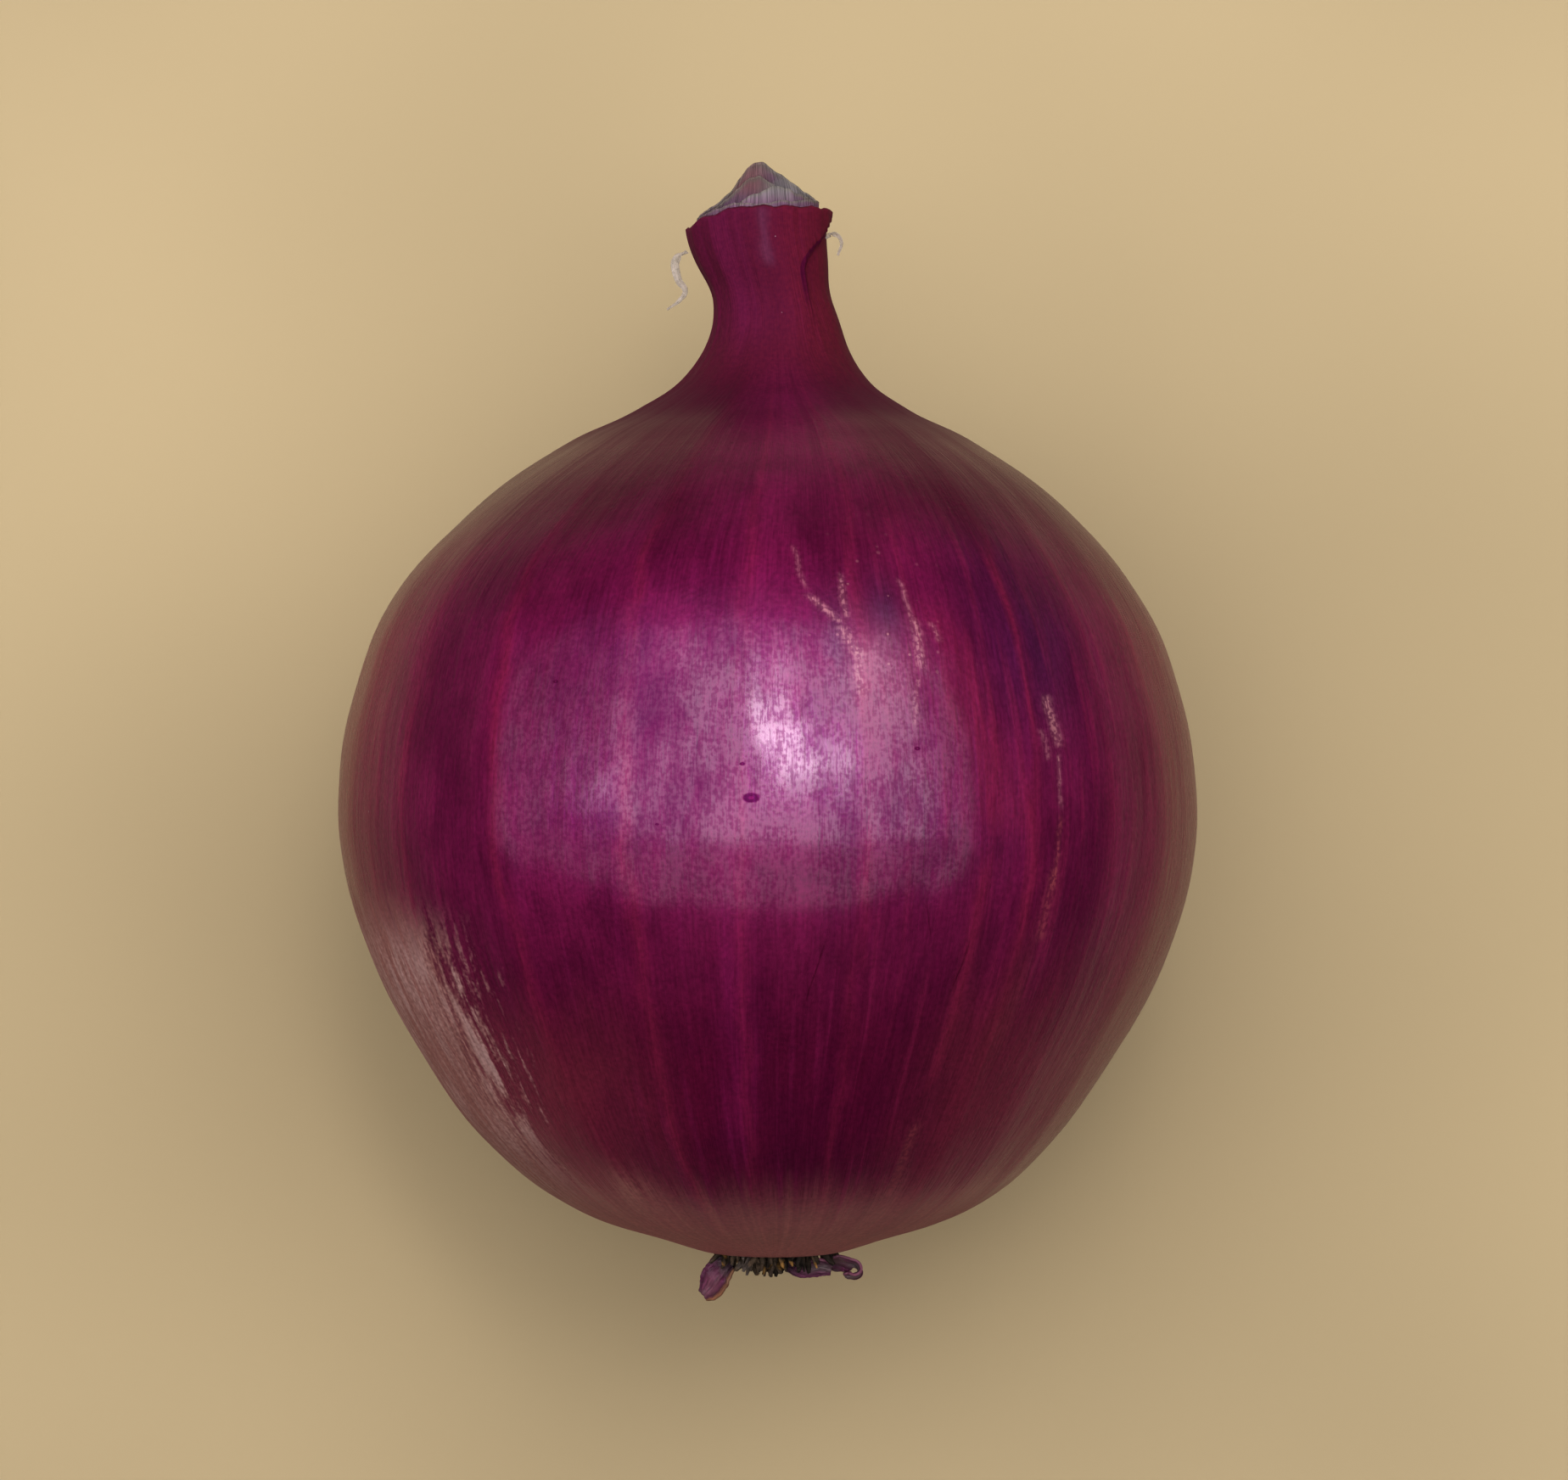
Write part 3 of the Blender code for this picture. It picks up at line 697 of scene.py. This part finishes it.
def lay_scabs(look):
    """The bruise, and the pale forked scabs and scratches, whose mask it gives."""
    broken = 0.30 + look.cells.ramp(0.30, 0.65) * look.hair.ramp(0.1, 0.6) * 0.70
    look.lay(BRUISE_DARK, look.spot(72.9, 0.0173, 2.4, 0.0024) * (0.75 + look.cells * 0.2))
    look.lay(BRUISE_DARK, look.spot(80.5, 0.0140, 1.7, 0.0040) * look.flecks.ramp(0.1, 0.6) * 0.5)
    look.lay(SCAB_PALE, look.spot(75.8, 0.0128, 5.0, 0.0060) * (0.05 + look.clouds * 0.25))
    scabs = marked(look, SCABS + SCRATCHES, 1.9, 0.9).to("MINIMUM", 1.0) * broken
    orange = marked(look, ORANGE_SCRATCHES, 1.9, 0.9).to("MINIMUM", 1.0) * broken
    look.lay(SCAB_PALE, scabs * 0.75)
    look.lay(SCRATCH_ORANGE, orange * 0.75)
    speckled = look.spot(74.0, 0.0155, 8.0, 0.0055) * look.specks(0.0008, 0.30, 0.20)
    look.lay(SCAB_PALE, speckled * 0.8)
    return scabs + orange


def lay_pits(look):
    """Hairline cracks, and small pits with a dark rim, whose mask it gives."""
    look.lay(PIT_DARK_AND_GAP_SHADE, marked(look, CRACKS, 1.0, 0.35) * (0.45 + look.hair * 0.5))
    pits = 0.0
    for at, place, size in PITS:
        pits = look.spot(at, place * MM, 1.4 * math.degrees(size * MM / RADIUS), 0.8 * size * MM) + pits
    look.lay(PIT_DARK_AND_GAP_SHADE, pits.ramp(0.15, 0.5) * pits.ramp(0.95, 0.80))
    return pits


def skin_gloss(look, pits):
    """How much gloss coat there is: most on the belly's top, mottled, less at the left, none in pits."""
    angle, station = look.angle, look.station
    belly = station.ramp(-0.0200, -0.0060) * station.ramp(0.0220, 0.0060)
    belly *= angle.turned_from(math.radians(92)).size().ramp(0.85, 0.55)
    polish = (station - 0.0085).size().ramp(0.0120, 0.0040)
    polish *= angle.turned_from(math.radians(87)).size().ramp(0.32, 0.10)
    right_side = angle.ramp(math.radians(118), math.radians(78))
    grain = (look.cells * 0.5 + look.hair * 0.5).ramp(0.25, 0.75)
    coat = belly * (0.30 + look.clouds * 1.05 + polish * 0.15) * (0.55 + right_side * 0.70)
    coat *= (0.55 + grain * 0.8) * (0.50 + look.flecks * 0.9) * (0.7 + look.strands * 0.5)
    return (coat * (1 - pits.ramp(0.10, 0.40))).to("MINIMUM", 1.0)


def make_skin_finish():
    look = Finish(
        "dry onion skin",
        Specular_IOR_Level=0.50,
        Specular_Tint=(0.95, 0.12, 0.92, 1.0),
        Coat_Roughness=0.16,
        Coat_IOR=1.62,
    )
    look.fine = look.fibres(150.0, 0.0030, 1.0)
    look.hair = look.fibres(280.0, 0.0012, 1.0)
    look.cells = look.patches(2900.0, 1.0)
    look.flecks = look.patches(600.0, 3.0, 1.8)
    look.strands = look.fibres(34.0, 0.016, 2.0)
    look.bands = look.fibres(9.0, 0.035, 2.0)
    look.clouds = look.patches(95.0, 3.0, 1.6)

    lay_purple(look)
    lay_shoulders(look)
    lay_neck(look)
    scuff = lay_scuffs(look)
    scabs = lay_scabs(look)
    pits = lay_pits(look)

    # Fine fibres and cells darken and lighten everything, and specks of dust lie on it
    look.lay(0.90 + look.fine * 0.20, 1.0, "MULTIPLY")
    look.lay(0.86 + look.cells * 0.28, 1.0, "MULTIPLY")
    look.lay(DUST, look.specks(0.0042, 0.30, 0.022) * 0.6)

    # The neck and the root end are dull, and so is what is scuffed or torn
    dull = look.station.ramp(0.0310, 0.0380) * 0.45 + look.station.ramp(-0.0300, -0.0365) * 0.35
    roughness = 0.25 + dull + scuff * 0.40 + scabs * 0.2 + look.fine * 0.06
    height = look.fine * 0.0045 + look.cells * 0.006 + look.strands * 0.022
    height += look.flecks * 0.012 + look.clouds * 0.07
    return look.done(height, MM, roughness, skin_gloss(look, pits))


bulb_outline = [(station * RADIUS, radius * RADIUS, 0) for station, radius in OUTLINE]
seat = [
    (RIM + SEAT_DEPTH, 0, 0),
    (RIM + SEAT_DEPTH, SEAT_RADIUS, 0),
    (RIM + SEAT_WALL, SEAT_RADIUS, 0),
]
mouth = [
    (LIP, LIP_RADIUS - MOUTH_WALL, 0),
    (LIP - MOUTH_DEPTH, LIP_RADIUS - MOUTH_WALL, 0),
    (LIP - MOUTH_DEPTH, 0, 0),
]
points = [*seat, *bulb_outline, *mouth]
corners = (0, 1, 2, len(points) - 4, len(points) - 3, len(points) - 2, len(points) - 1)
skin_outline = smooth_line("skin outline", points, corners)
skin = grown("dry_skin", make_skin_form(), SKIN_SIZES, make_skin_finish(), skin_outline)
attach(skin, "root")
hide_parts("bulb")

# The dried leaf tips in the cut neck. They are thin papery sheaths, one inside the other, the
# bigger one drawn out to a point at the far side; each is a slanted tube made by Geometry Nodes.
# They are held only by the neck round them.

TIPS_FOOT = LIP - 0.0026
TIPS_REACH = 0.0046
TIPS_ASIDE = 0.0006
TIPS_TEARS = 0.0009
TIPS_THICKNESS = 0.00016
HUMP_ANGLE = math.radians(72)
HUMP_WIDTH = math.radians(34)
# Each sheath: its radius, how far past the lip it runs at its hump, right, left and far side, and how
# far it stands aside of the others
SHEATHS = (
    (0.00525, 0.0002, 0.0007, 0.0008, TIPS_REACH, 0.0),
    (0.00465, 0.0016, 0.0006, 0.0006, 0.0022, 0.0001),
    (0.00365, 0.0004, 0.0010, 0.0012, 0.0034, -0.0004),
    (0.00240, 0.0010, 0.0004, 0.0006, 0.0018, 0.0003),
)
TIPS_SIZES = {"Sides": 120, "Rings": 40, "Closing": 0.16, "Crumple": 0.0006, "Rise": 0.45}
TIPS_GREY = (0.213, 0.183, 0.192)
TIPS_PINK = (0.270, 0.126, 0.140)
TIPS_MAUVE = (0.175, 0.075, 0.145)
TIPS_OLIVE = (0.185, 0.165, 0.132)


def make_tips_form():
    tree, given = form_tree("dried tips form", TIPS_SIZES)
    both = tree.nodes.new("GeometryNodeJoinGeometry")
    for number, (radius, top, right, left, far, aside) in enumerate(SHEATHS):
        grid, across, along = grid_of(tree, given["Sides"], given["Rings"])
        angle = (0.75 - across) * TURN
        upward = angle.sin().at_least(0.0)
        downward = (-1.0 * angle.sin()).at_least(0.0)
        rightward = angle.cos().at_least(0.0)
        leftward = (-1.0 * angle.cos()).at_least(0.0)
        hump = (angle.turned_from(HUMP_ANGLE) / HUMP_WIDTH).bell()
        point = 1 - leftward.ramp(0.0, 0.85) - rightward.to("POWER", 1.5)
        reach = hump * top + rightward * right + leftward * left
        reach += point * far * downward.ramp(0.0, 0.25)
        torn = joined(tree, angle.cos() * 4.0, angle.sin() * 4.0, number * 3.7)
        reach += noise(tree, torn, 1.0, 4.0) * TIPS_TEARS
        end = lip_run(angle) * downward.ramp(1.0, 0.0) + LIP + reach
        station = (end - TIPS_FOOT) * along + TIPS_FOOT
        past = ((station - LIP) / TIPS_REACH).at_least(0.0)
        place = joined(tree, angle.cos() * 2.6, station * 260.0, angle.sin() * 2.6 + number * 5.0)
        crumple = noise(tree, place, 1.0, 3.0) * given["Crumple"] * (0.5 + past)
        out = (1 - past * given["Closing"] * angle.sin().size()) * radius + crumple
        x = out * angle.cos() + AXIS_X + aside - TIPS_ASIDE
        z = out * angle.sin() * NECK_FLATNESS * (1 - past * given["Rise"] * downward) + AXIS_Z
        sheath = moved_grid(tree, grid, x, station + WIDEST_Y, z)
        tree.links.new(sheath, both.inputs[0])
    close_form(tree, given, both.outputs[0])
    return tree


def make_tips_finish():
    look = Finish("dried leaf tips", Specular_IOR_Level=0.35)
    spot = add_node(look.tree, "ShaderNodeTexCoord")
    edge = split(look.tree, spot.outputs["UV"])[1]
    x = split(look.tree, spot.outputs["Object"])[0] - AXIS_X
    fibres = look.fibres(46.0, 0.0040, 3.0)
    patches = look.patches(420.0, 3.0)
    look.start(TIPS_GREY)
    look.lay(TIPS_MAUVE, patches.ramp(0.35, 0.8) * 0.7)
    look.lay(TIPS_MAUVE, look.station.ramp(LIP + 0.0018, LIP) * 0.8)
    left = x.ramp(0.0012, -0.0012) * look.station.ramp(LIP + 0.0012, LIP + 0.0026)
    look.lay(TIPS_PINK, left * 0.85)
    look.lay(TIPS_OLIVE, edge.ramp(0.90, 0.99) * (0.4 + patches * 0.5))
    look.lay(0.60 + fibres * 0.80, 1.0, "MULTIPLY")
    return look.done(fibres + patches * 0.6, 0.00006, 0.75 - patches * 0.15)


tips = grown("dried_leaf_tips", make_tips_form(), TIPS_SIZES, make_tips_finish(), None, TIPS_THICKNESS)
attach(tips, "root")
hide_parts("neck_tips")

# The root plate: a corky disc, the dead stem, grown into the seat at the root end, with the stubs
# of its trimmed roots. Geometry Nodes scatter the stubs over the dome and bend each one.

PLATE_SIZES = {
    "Plate radius": 0.0051,
    "Plate bulge": 0.0008,
    "Stubs": 190,
    "Stub radius": 0.00024,
    "Stub length": 0.0023,
    "Splay": 0.55,
    "Seed": 4,
}
PLATE_DEPTH = 0.0003
CORK_RELIEF = 0.0006
GOLDEN_ANGLE = math.pi * (3 - math.sqrt(5))
# The stubs: the share of the plate that they cover, how deep they are sunk, how far each strays, leans
# and curls, and the shares of the girth and length that each may have
STUB_FIELD = 0.93
STUB_SINK = 0.0007
STUB_STRAY = 0.0003
STUB_LEAN = 0.3
STUB_CURL = 0.00035
STUB_GIRTHS = (0.6, 1.5)
STUB_LENGTHS = (0.35, 1.0)
CORK_BROWN = (0.115, 0.080, 0.054)
CORK_DARK = (0.030, 0.023, 0.019)
CORK_GREY = (0.190, 0.155, 0.140)
CORK_OCHRE = (0.340, 0.190, 0.060)


def make_plate_form():
    tree, given = form_tree("root plate form", PLATE_SIZES)
    grid, across, along = grid_of(tree, 72, 26)
    angle = (0.75 - across) * TURN
    out = along * given["Plate radius"]
    cork = noise(tree, joined(tree, out * angle.cos(), 0.0, out * angle.sin()), 1100.0, 4.0)
    dome = given["Plate bulge"] * (1 - along * along) + cork * CORK_RELIEF * along.ramp(1.0, 0.8)
    x = out * angle.cos() + AXIS_X + PLATE_SHIFT
    z = out * angle.sin() + AXIS_Z
    disc = moved_grid(tree, grid, x, 0.0 - dome + RIM + WIDEST_Y + PLATE_DEPTH, z)

    number = Amount(add_node(tree, "GeometryNodeInputIndex").outputs[0])
    sockets = {"Count": given["Stubs"]}
    feet = add_node(tree, "GeometryNodePoints", sockets).outputs[0]
    share = (number + 0.5) / given["Stubs"]
    turn = number * GOLDEN_ANGLE
    reach = share.to("SQRT") * given["Plate radius"] * STUB_FIELD

    def drawn(low, high, key):
        """A number from low to high, drawn for each stub."""
        sockets = {2: low, 3: high, "ID": number, "Seed": given["Seed"] + key}
        return Amount(add_node(tree, "FunctionNodeRandomValue", sockets, data_type="FLOAT").outputs[1])

    foot_x = reach * turn.cos() + drawn(-STUB_STRAY, STUB_STRAY, 1) + AXIS_X + PLATE_SHIFT
    foot_z = reach * turn.sin() + drawn(-STUB_STRAY, STUB_STRAY, 2) + AXIS_Z
    foot_y = 0.0 - given["Plate bulge"] * (1 - share) + RIM + WIDEST_Y + STUB_SINK
    sockets = {"Geometry": feet, "Position": joined(tree, foot_x, foot_y, foot_z)}
    feet = add_node(tree, "GeometryNodeSetPosition", sockets).outputs[0]

    stub, sideways, lengthwise = grid_of(tree, 7, 7)
    round_it = sideways * -TURN
    girth = lengthwise.ramp(1.25, 0.85) * (1.15 - lengthwise * 0.45)
    curl = lengthwise * lengthwise * STUB_CURL
    stub_x = round_it.cos() * girth * given["Stub radius"] + curl
    stub_y = round_it.sin() * girth * given["Stub radius"]
    one = moved_grid(tree, stub, stub_x, stub_y, lengthwise * given["Stub length"])
    splay = share.to("SQRT") * given["Splay"]
    tilt = joined(
        tree,
        splay * turn.cos() + drawn(-STUB_LEAN, STUB_LEAN, 3),
        -1.0,
        splay * turn.sin() + drawn(-STUB_LEAN, STUB_LEAN, 4),
    )
    heading = add_node(tree, "FunctionNodeAlignRotationToVector", {"Vector": tilt}, axis="Z").outputs[0]
    sockets = {"Rotation": heading, "Rotate By": joined(tree, 0.0, 0.0, drawn(0.0, TURN, 5))}
    spun = add_node(tree, "FunctionNodeRotateRotation", sockets, rotation_space="LOCAL").outputs[0]
    scale = joined(tree, drawn(*STUB_GIRTHS, 6), drawn(*STUB_GIRTHS, 6), drawn(*STUB_LENGTHS, 7))
    sockets = {"Points": feet, "Instance": one, "Rotation": spun, "Scale": scale}
    stubs = add_node(tree, "GeometryNodeInstanceOnPoints", sockets).outputs[0]
    both = tree.nodes.new("GeometryNodeJoinGeometry")
    tree.links.new(disc, both.inputs[0])
    tree.links.new(stubs, both.inputs[0])
    close_form(tree, given, both.outputs[0])
    return tree


def make_cork_finish():
    look = Finish("dead root stubs", Specular_IOR_Level=0.2)
    grain = look.patches(1500.0, 3.0)
    patches = look.patches(330.0, 2.0)
    look.start(CORK_BROWN)
    look.lay(CORK_DARK, patches.ramp(0.65, 0.2) * 0.9)
    look.lay(CORK_GREY, patches.ramp(0.70, 0.95) * 0.7)
    look.lay(CORK_OCHRE, look.patches(610.0, 1.0).ramp(0.80, 0.95) * 0.9)
    look.lay(0.45 + grain * 1.1, 1.0, "MULTIPLY")
    return look.done(grain, 0.00015, 0.95 - grain * 0.15)


plate = grown("root_stubs", make_plate_form(), PLATE_SIZES, make_cork_finish())
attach(plate, "root")
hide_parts("root_plate")

# Three scraps of an older skin that the root plate still holds: a cupped flap at the left, a curled
# one at the right and a grey shred between. Each is dried skin, laid along a line, sheet thin.

SCRAP_SIZES = {
    "Across": 26,
    "Along": 44,
    "Cup": 0.25,
    "Crumple": 0.00022,
    "Side x": 0.0,
    "Side y": 0.0,
    "Side z": 1.0,
}
SCRAP_THICKNESS = 0.00022
FLAP_PATH = (
    (-0.0029, -0.0010, 0.0012),
    (-0.0037, -0.0018, 0.0010),
    (-0.0045, -0.0029, 0.0005),
    (-0.0053, -0.0040, -0.0004),
)
FLAP_WIDTHS = (0.0018, 0.0030, 0.0029, 0.0012)
FLAP_SIDE = {"Side x": 0.72, "Side y": -0.30, "Side z": 0.62}
CURL_PATH = (
    (0.0050, -0.0010, 0.0004),
    (0.0062, -0.0009, 0.0003),
    (0.0072, -0.0010, 0.0005),
    (0.0081, -0.0014, 0.0004),
    (0.0080, -0.0022, 0.0000),
    (0.0071, -0.0024, -0.0004),
)
CURL_WIDTHS = (0.0016, 0.0024, 0.0024, 0.0018, 0.0014, 0.0010)
CURL_SIDE = {"Side x": 0.0, "Side y": 0.6, "Side z": 0.8}
SHRED_PATH = (
    (0.0018, -0.0011, 0.0016),
    (0.0032, -0.0014, 0.0020),
    (0.0046, -0.0013, 0.0016),
    (0.0058, -0.0015, 0.0010),
)
SHRED_WIDTHS = (0.0010, 0.0016, 0.0018, 0.0012)
SHRED_SIDE = {"Side x": 0.0, "Side y": 0.9, "Side z": 0.4}
SCRAP_PURPLE = (0.130, 0.022, 0.072)
SCRAP_PINK = (0.280, 0.110, 0.165)
SCRAP_DARK = (0.045, 0.022, 0.035)
SCRAP_ORANGE = (0.290, 0.140, 0.070)
SCRAP_GREY = (0.190, 0.145, 0.150)


def make_scrap_form():
    tree, given = form_tree("scrap form", SCRAP_SIZES)
    grid, across, along = grid_of(tree, given["Across"], given["Along"])
    sockets = {"Curves": given["Start"], "Factor": along}
    width = add_node(tree, "GeometryNodeInputRadius").outputs[0]
    line = add_node(tree, "GeometryNodeSampleCurve", {**sockets, "Value": width}, mode="FACTOR")
    side = joined(tree, given["Side x"], given["Side y"], given["Side z"])

    def vectors(operation, *values):
        sockets = dict(enumerate(values))
        return add_node(tree, "ShaderNodeVectorMath", sockets, operation=operation)

    ahead = line.outputs["Tangent"]
    lean = vectors("DOT_PRODUCT", side, ahead).outputs["Value"]
    back = vectors("SCALE", ahead)
    tree.links.new(lean, back.inputs["Scale"])
    square = vectors("NORMALIZE", vectors("SUBTRACT", side, back.outputs[0]).outputs[0]).outputs[0]
    facing = vectors("CROSS_PRODUCT", ahead, square).outputs[0]
    half = Amount(line.outputs["Value"]) * 0.5
    place = across * 2 - 1
    frayed = noise(tree, joined(tree, along * 7.0, across.ramp(0.4, 0.6) * 5.0, 0.0), 1.0, 3.0)
    run = place * half * (1 + frayed * 0.5)
    crumple = noise(tree, joined(tree, across * 3.0, along * 3.0, 2.0), 1.6, 3.0)
    rise = place * place * half * given["Cup"] + crumple * given["Crumple"] * 2.0
    spot = split(tree, line.outputs["Position"])
    sides = split(tree, square)
    outs = split(tree, facing)
    x, y, z = (spot[k] + sides[k] * run + outs[k] * rise for k in range(3))
    sheet = moved_grid(tree, grid, x, y, z, welded=False)
    close_form(tree, given, sheet)
    return tree


def make_scrap_finish(name, pale, edge_colour):
    look = Finish(name, Specular_IOR_Level=0.5)
    across, along, _ = split(look.tree, add_node(look.tree, "ShaderNodeTexCoord").outputs["UV"])
    veins = noise(look.tree, joined(look.tree, across * 9.0, along * 2.0, 0.0), 1.0, 3.0)
    veins = veins * NOISE_SPREAD + 0.5
    patches = look.patches(700.0, 3.0)
    look.start(SCRAP_PURPLE)
    look.lay(pale, (across - 0.5).size().ramp(0.45, 0.05) * along.ramp(0.25, 0.6) * 0.75)
    look.lay(SCRAP_DARK, along.ramp(0.35, 0.05) * 0.85)
    look.lay(SCRAP_GREY, patches.ramp(0.55, 0.9) * 0.4)
    look.lay(edge_colour, across.ramp(0.80, 0.98) * 0.85)
    look.lay(0.55 + veins * 0.9, 1.0, "MULTIPLY")
    return look.done(veins + patches * 0.5, 0.00008, 0.55 - patches * 0.1)


def make_scrap(name, path, base, widths, side, finish, thickness):
    """A scrap of skin along a path that is given from a station of the axis."""
    points = [(x + AXIS_X, y + WIDEST_Y + base, z + AXIS_Z) for x, y, z in path]
    line = smooth_line(name, points, (), widths)
    scrap = grown(name, scrap_form, {**SCRAP_SIZES, **side}, finish, line, thickness)
    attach(scrap, "root")
    return scrap


scrap_form = make_scrap_form()
flap_finish = make_scrap_finish("purple flap", SCRAP_PINK, SCRAP_ORANGE)
curl_finish = make_scrap_finish("curled scrap", SCRAP_GREY, SCRAP_PINK)
flap = make_scrap("skin_flap", FLAP_PATH, RIM, FLAP_WIDTHS, FLAP_SIDE, flap_finish, SCRAP_THICKNESS)
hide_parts("root_flap")
curl = make_scrap("curled_scrap", CURL_PATH, RIM, CURL_WIDTHS, CURL_SIDE, curl_finish, SCRAP_THICKNESS)
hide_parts("root_curl")
make_scrap("grey_shred", SHRED_PATH, RIM, SHRED_WIDTHS, SHRED_SIDE, curl_finish, SCRAP_THICKNESS)

# Two wisps of torn skin beside the neck, pale and half clear. Each is a thin narrow ribbon that
# hangs from the skin at its upper end.

WISP_PALE = (0.42, 0.37, 0.35)
WISP_THICKNESS = 0.00006
LEFT_WISP = (
    (-0.0067, -0.0036, 0.0012),
    (-0.0076, -0.0042, 0.0013),
    (-0.0075, -0.0060, 0.0015),
    (-0.0069, -0.0070, 0.0014),
    (-0.0074, -0.0078, 0.0012),
    (-0.0085, -0.0086, 0.0010),
)
LEFT_WISP_WIDTHS = (0.0008, 0.0009, 0.0007, 0.0005, 0.0004, 0.0002)
RIGHT_WISP = (
    (0.0052, -0.0022, 0.0004),
    (0.0062, -0.0020, 0.0008),
    (0.0067, -0.0026, 0.0007),
    (0.0064, -0.0038, 0.0005),
)
RIGHT_WISP_WIDTHS = (0.0004, 0.0004, 0.0003, 0.0002)
WISP_SIDE = {"Side x": 0.8, "Side y": 0.2, "Side z": 0.4, "Crumple": 0.00005}


def make_wisp_finish():
    look = Finish("pale torn skin", Specular_IOR_Level=0.3, Alpha=0.45)
    streaks = look.patches(1800.0, 2.0)
    look.start(WISP_PALE)
    look.lay(0.7 + streaks * 0.6, 1.0, "MULTIPLY")
    return look.done(streaks, 0.00003, 0.7 - streaks * 0.1)


wisp_finish = make_wisp_finish()
make_scrap("left_wisp", LEFT_WISP, LIP, LEFT_WISP_WIDTHS, WISP_SIDE, wisp_finish, WISP_THICKNESS)
make_scrap("right_wisp", RIGHT_WISP, LIP, RIGHT_WISP_WIDTHS, WISP_SIDE, wisp_finish, WISP_THICKNESS)

# The floor is plain, pale, matt and a little mottled. Painted shade darkens it outside the picture, which
# keeps its mirror image in the glossy skin's edges weak.

FLOOR_SIZE = 6.0
FLOOR_PALE = (0.452, 0.362, 0.225)
FLOOR_SHADE = (0.170, 0.136, 0.088)
floor_mesh = bpy.data.meshes.new("floor")
half_floor = FLOOR_SIZE / 2
floor_corners = [(x * half_floor, y * half_floor, 0.0) for x, y in ((-1, -1), (1, -1), (1, 1), (-1, 1))]
floor_mesh.from_pydata(floor_corners, [], [(0, 1, 2, 3)])
floor = bpy.data.objects.new("floor", floor_mesh)
bpy.context.scene.collection.objects.link(floor)
floor_look = Finish("pale floor", Specular_IOR_Level=0.2)
mottle = floor_look.patches(14.0, 1.0)
spot = add_node(floor_look.tree, "ShaderNodeTexCoord").outputs["Object"]
from_middle = add_node(floor_look.tree, "ShaderNodeVectorMath", {0: spot}, operation="LENGTH")
far_off = Amount(from_middle.outputs["Value"])
floor_look.start(FLOOR_PALE)
# Painted shade: the floor grows darker away from the middle
floor_look.lay(FLOOR_SHADE, far_off.ramp(0.095, 0.260))
floor_look.lay(0.94 + mottle * 0.12, 1.0, "MULTIPLY")
floor_mesh.materials.append(floor_look.done(mottle, 0.0001, 0.85 - mottle * 0.05))

# The light comes from two broad soft panels overhead, one inside the other and both more towards the
# neck. Three small brighter panes in a row make the gloss patch, and a weak cool one is at their left.

LIGHT_HEIGHT = 1.0
# Each light: the slopes at which the onion sees its edges, in degrees from straight up, across and
# then along, how much lower than the others it hangs, its brightness and its tone
PANES = (
    ("wide panel", (-72, 58), (-32, 66), 0.00, 0.92, (1.0, 0.98, 0.98)),
    ("main panel", (-48, 46), (-9, 50), 0.02, 1.85, (0.97, 0.98, 1.0)),
    ("upper pane", (-3, 5), (24.5, 31.5), 0.05, 8.5, (1.0, 0.99, 1.0)),
    ("middle pane", (0, 9), (18, 24.5), 0.05, 10.5, (1.0, 0.99, 1.0)),
    ("lower pane", (3, 13), (11, 18), 0.05, 10.0, (1.0, 0.99, 1.0)),
    ("cool pane", (-50, -39), (2, 14), 0.06, 2.8, (0.85, 0.92, 1.0)),
)
for name, across, along, nearer, brightness, tone in PANES:
    pane_height = LIGHT_HEIGHT - nearer
    left, right, near, far = (
        pane_height * math.tan(math.radians(slope)) for slope in (*across, *along)
    )
    pane = bpy.data.lights.new(name, "AREA")
    pane.shape = "RECTANGLE"
    pane.size = right - left
    pane.size_y = far - near
    pane.energy = brightness * math.pi * pane.size * pane.size_y
    pane.color = tone
    lamp = bpy.data.objects.new(name, pane)
    lamp.location = (
        AXIS_X + (left + right) / 2,
        WIDEST_Y + (near + far) / 2,
        AXIS_Z + pane_height,
    )
    lamp.visible_camera = False
    bpy.context.scene.collection.objects.link(lamp)

ROOM_TONE = (1.0, 0.95, 0.90, 1.0)
ROOM_STRENGTH = 0.03
room = bpy.data.worlds.new("dim room")
room.use_nodes = True
room_light = room.node_tree.nodes["Background"]
room_light.inputs["Color"].default_value = ROOM_TONE
room_light.inputs["Strength"].default_value = ROOM_STRENGTH
bpy.context.scene.world = room

# A gamma under 1 makes the picture's contrast a little harder
VIEW_GAMMA = 0.8
bpy.context.scene.view_settings.view_transform = "Standard"
bpy.context.scene.view_settings.gamma = VIEW_GAMMA

# The camera looks straight down, as in the photo, with the neck at the top of the picture.

CAMERA_LENS = 104.96
CAMERA_ASIDE = 0.0017
CAMERA_AHEAD = 0.0069
CAMERA_UP = 0.400
camera_data = bpy.data.cameras.new("camera")
camera_data.sensor_width = 36.0
camera_data.lens = CAMERA_LENS
camera_data.clip_start = 0.01
camera = bpy.data.objects.new("camera", camera_data)
camera.location = (AXIS_X + CAMERA_ASIDE, WIDEST_Y + CAMERA_AHEAD, AXIS_Z + CAMERA_UP)
bpy.context.scene.collection.objects.link(camera)
bpy.context.scene.camera = camera
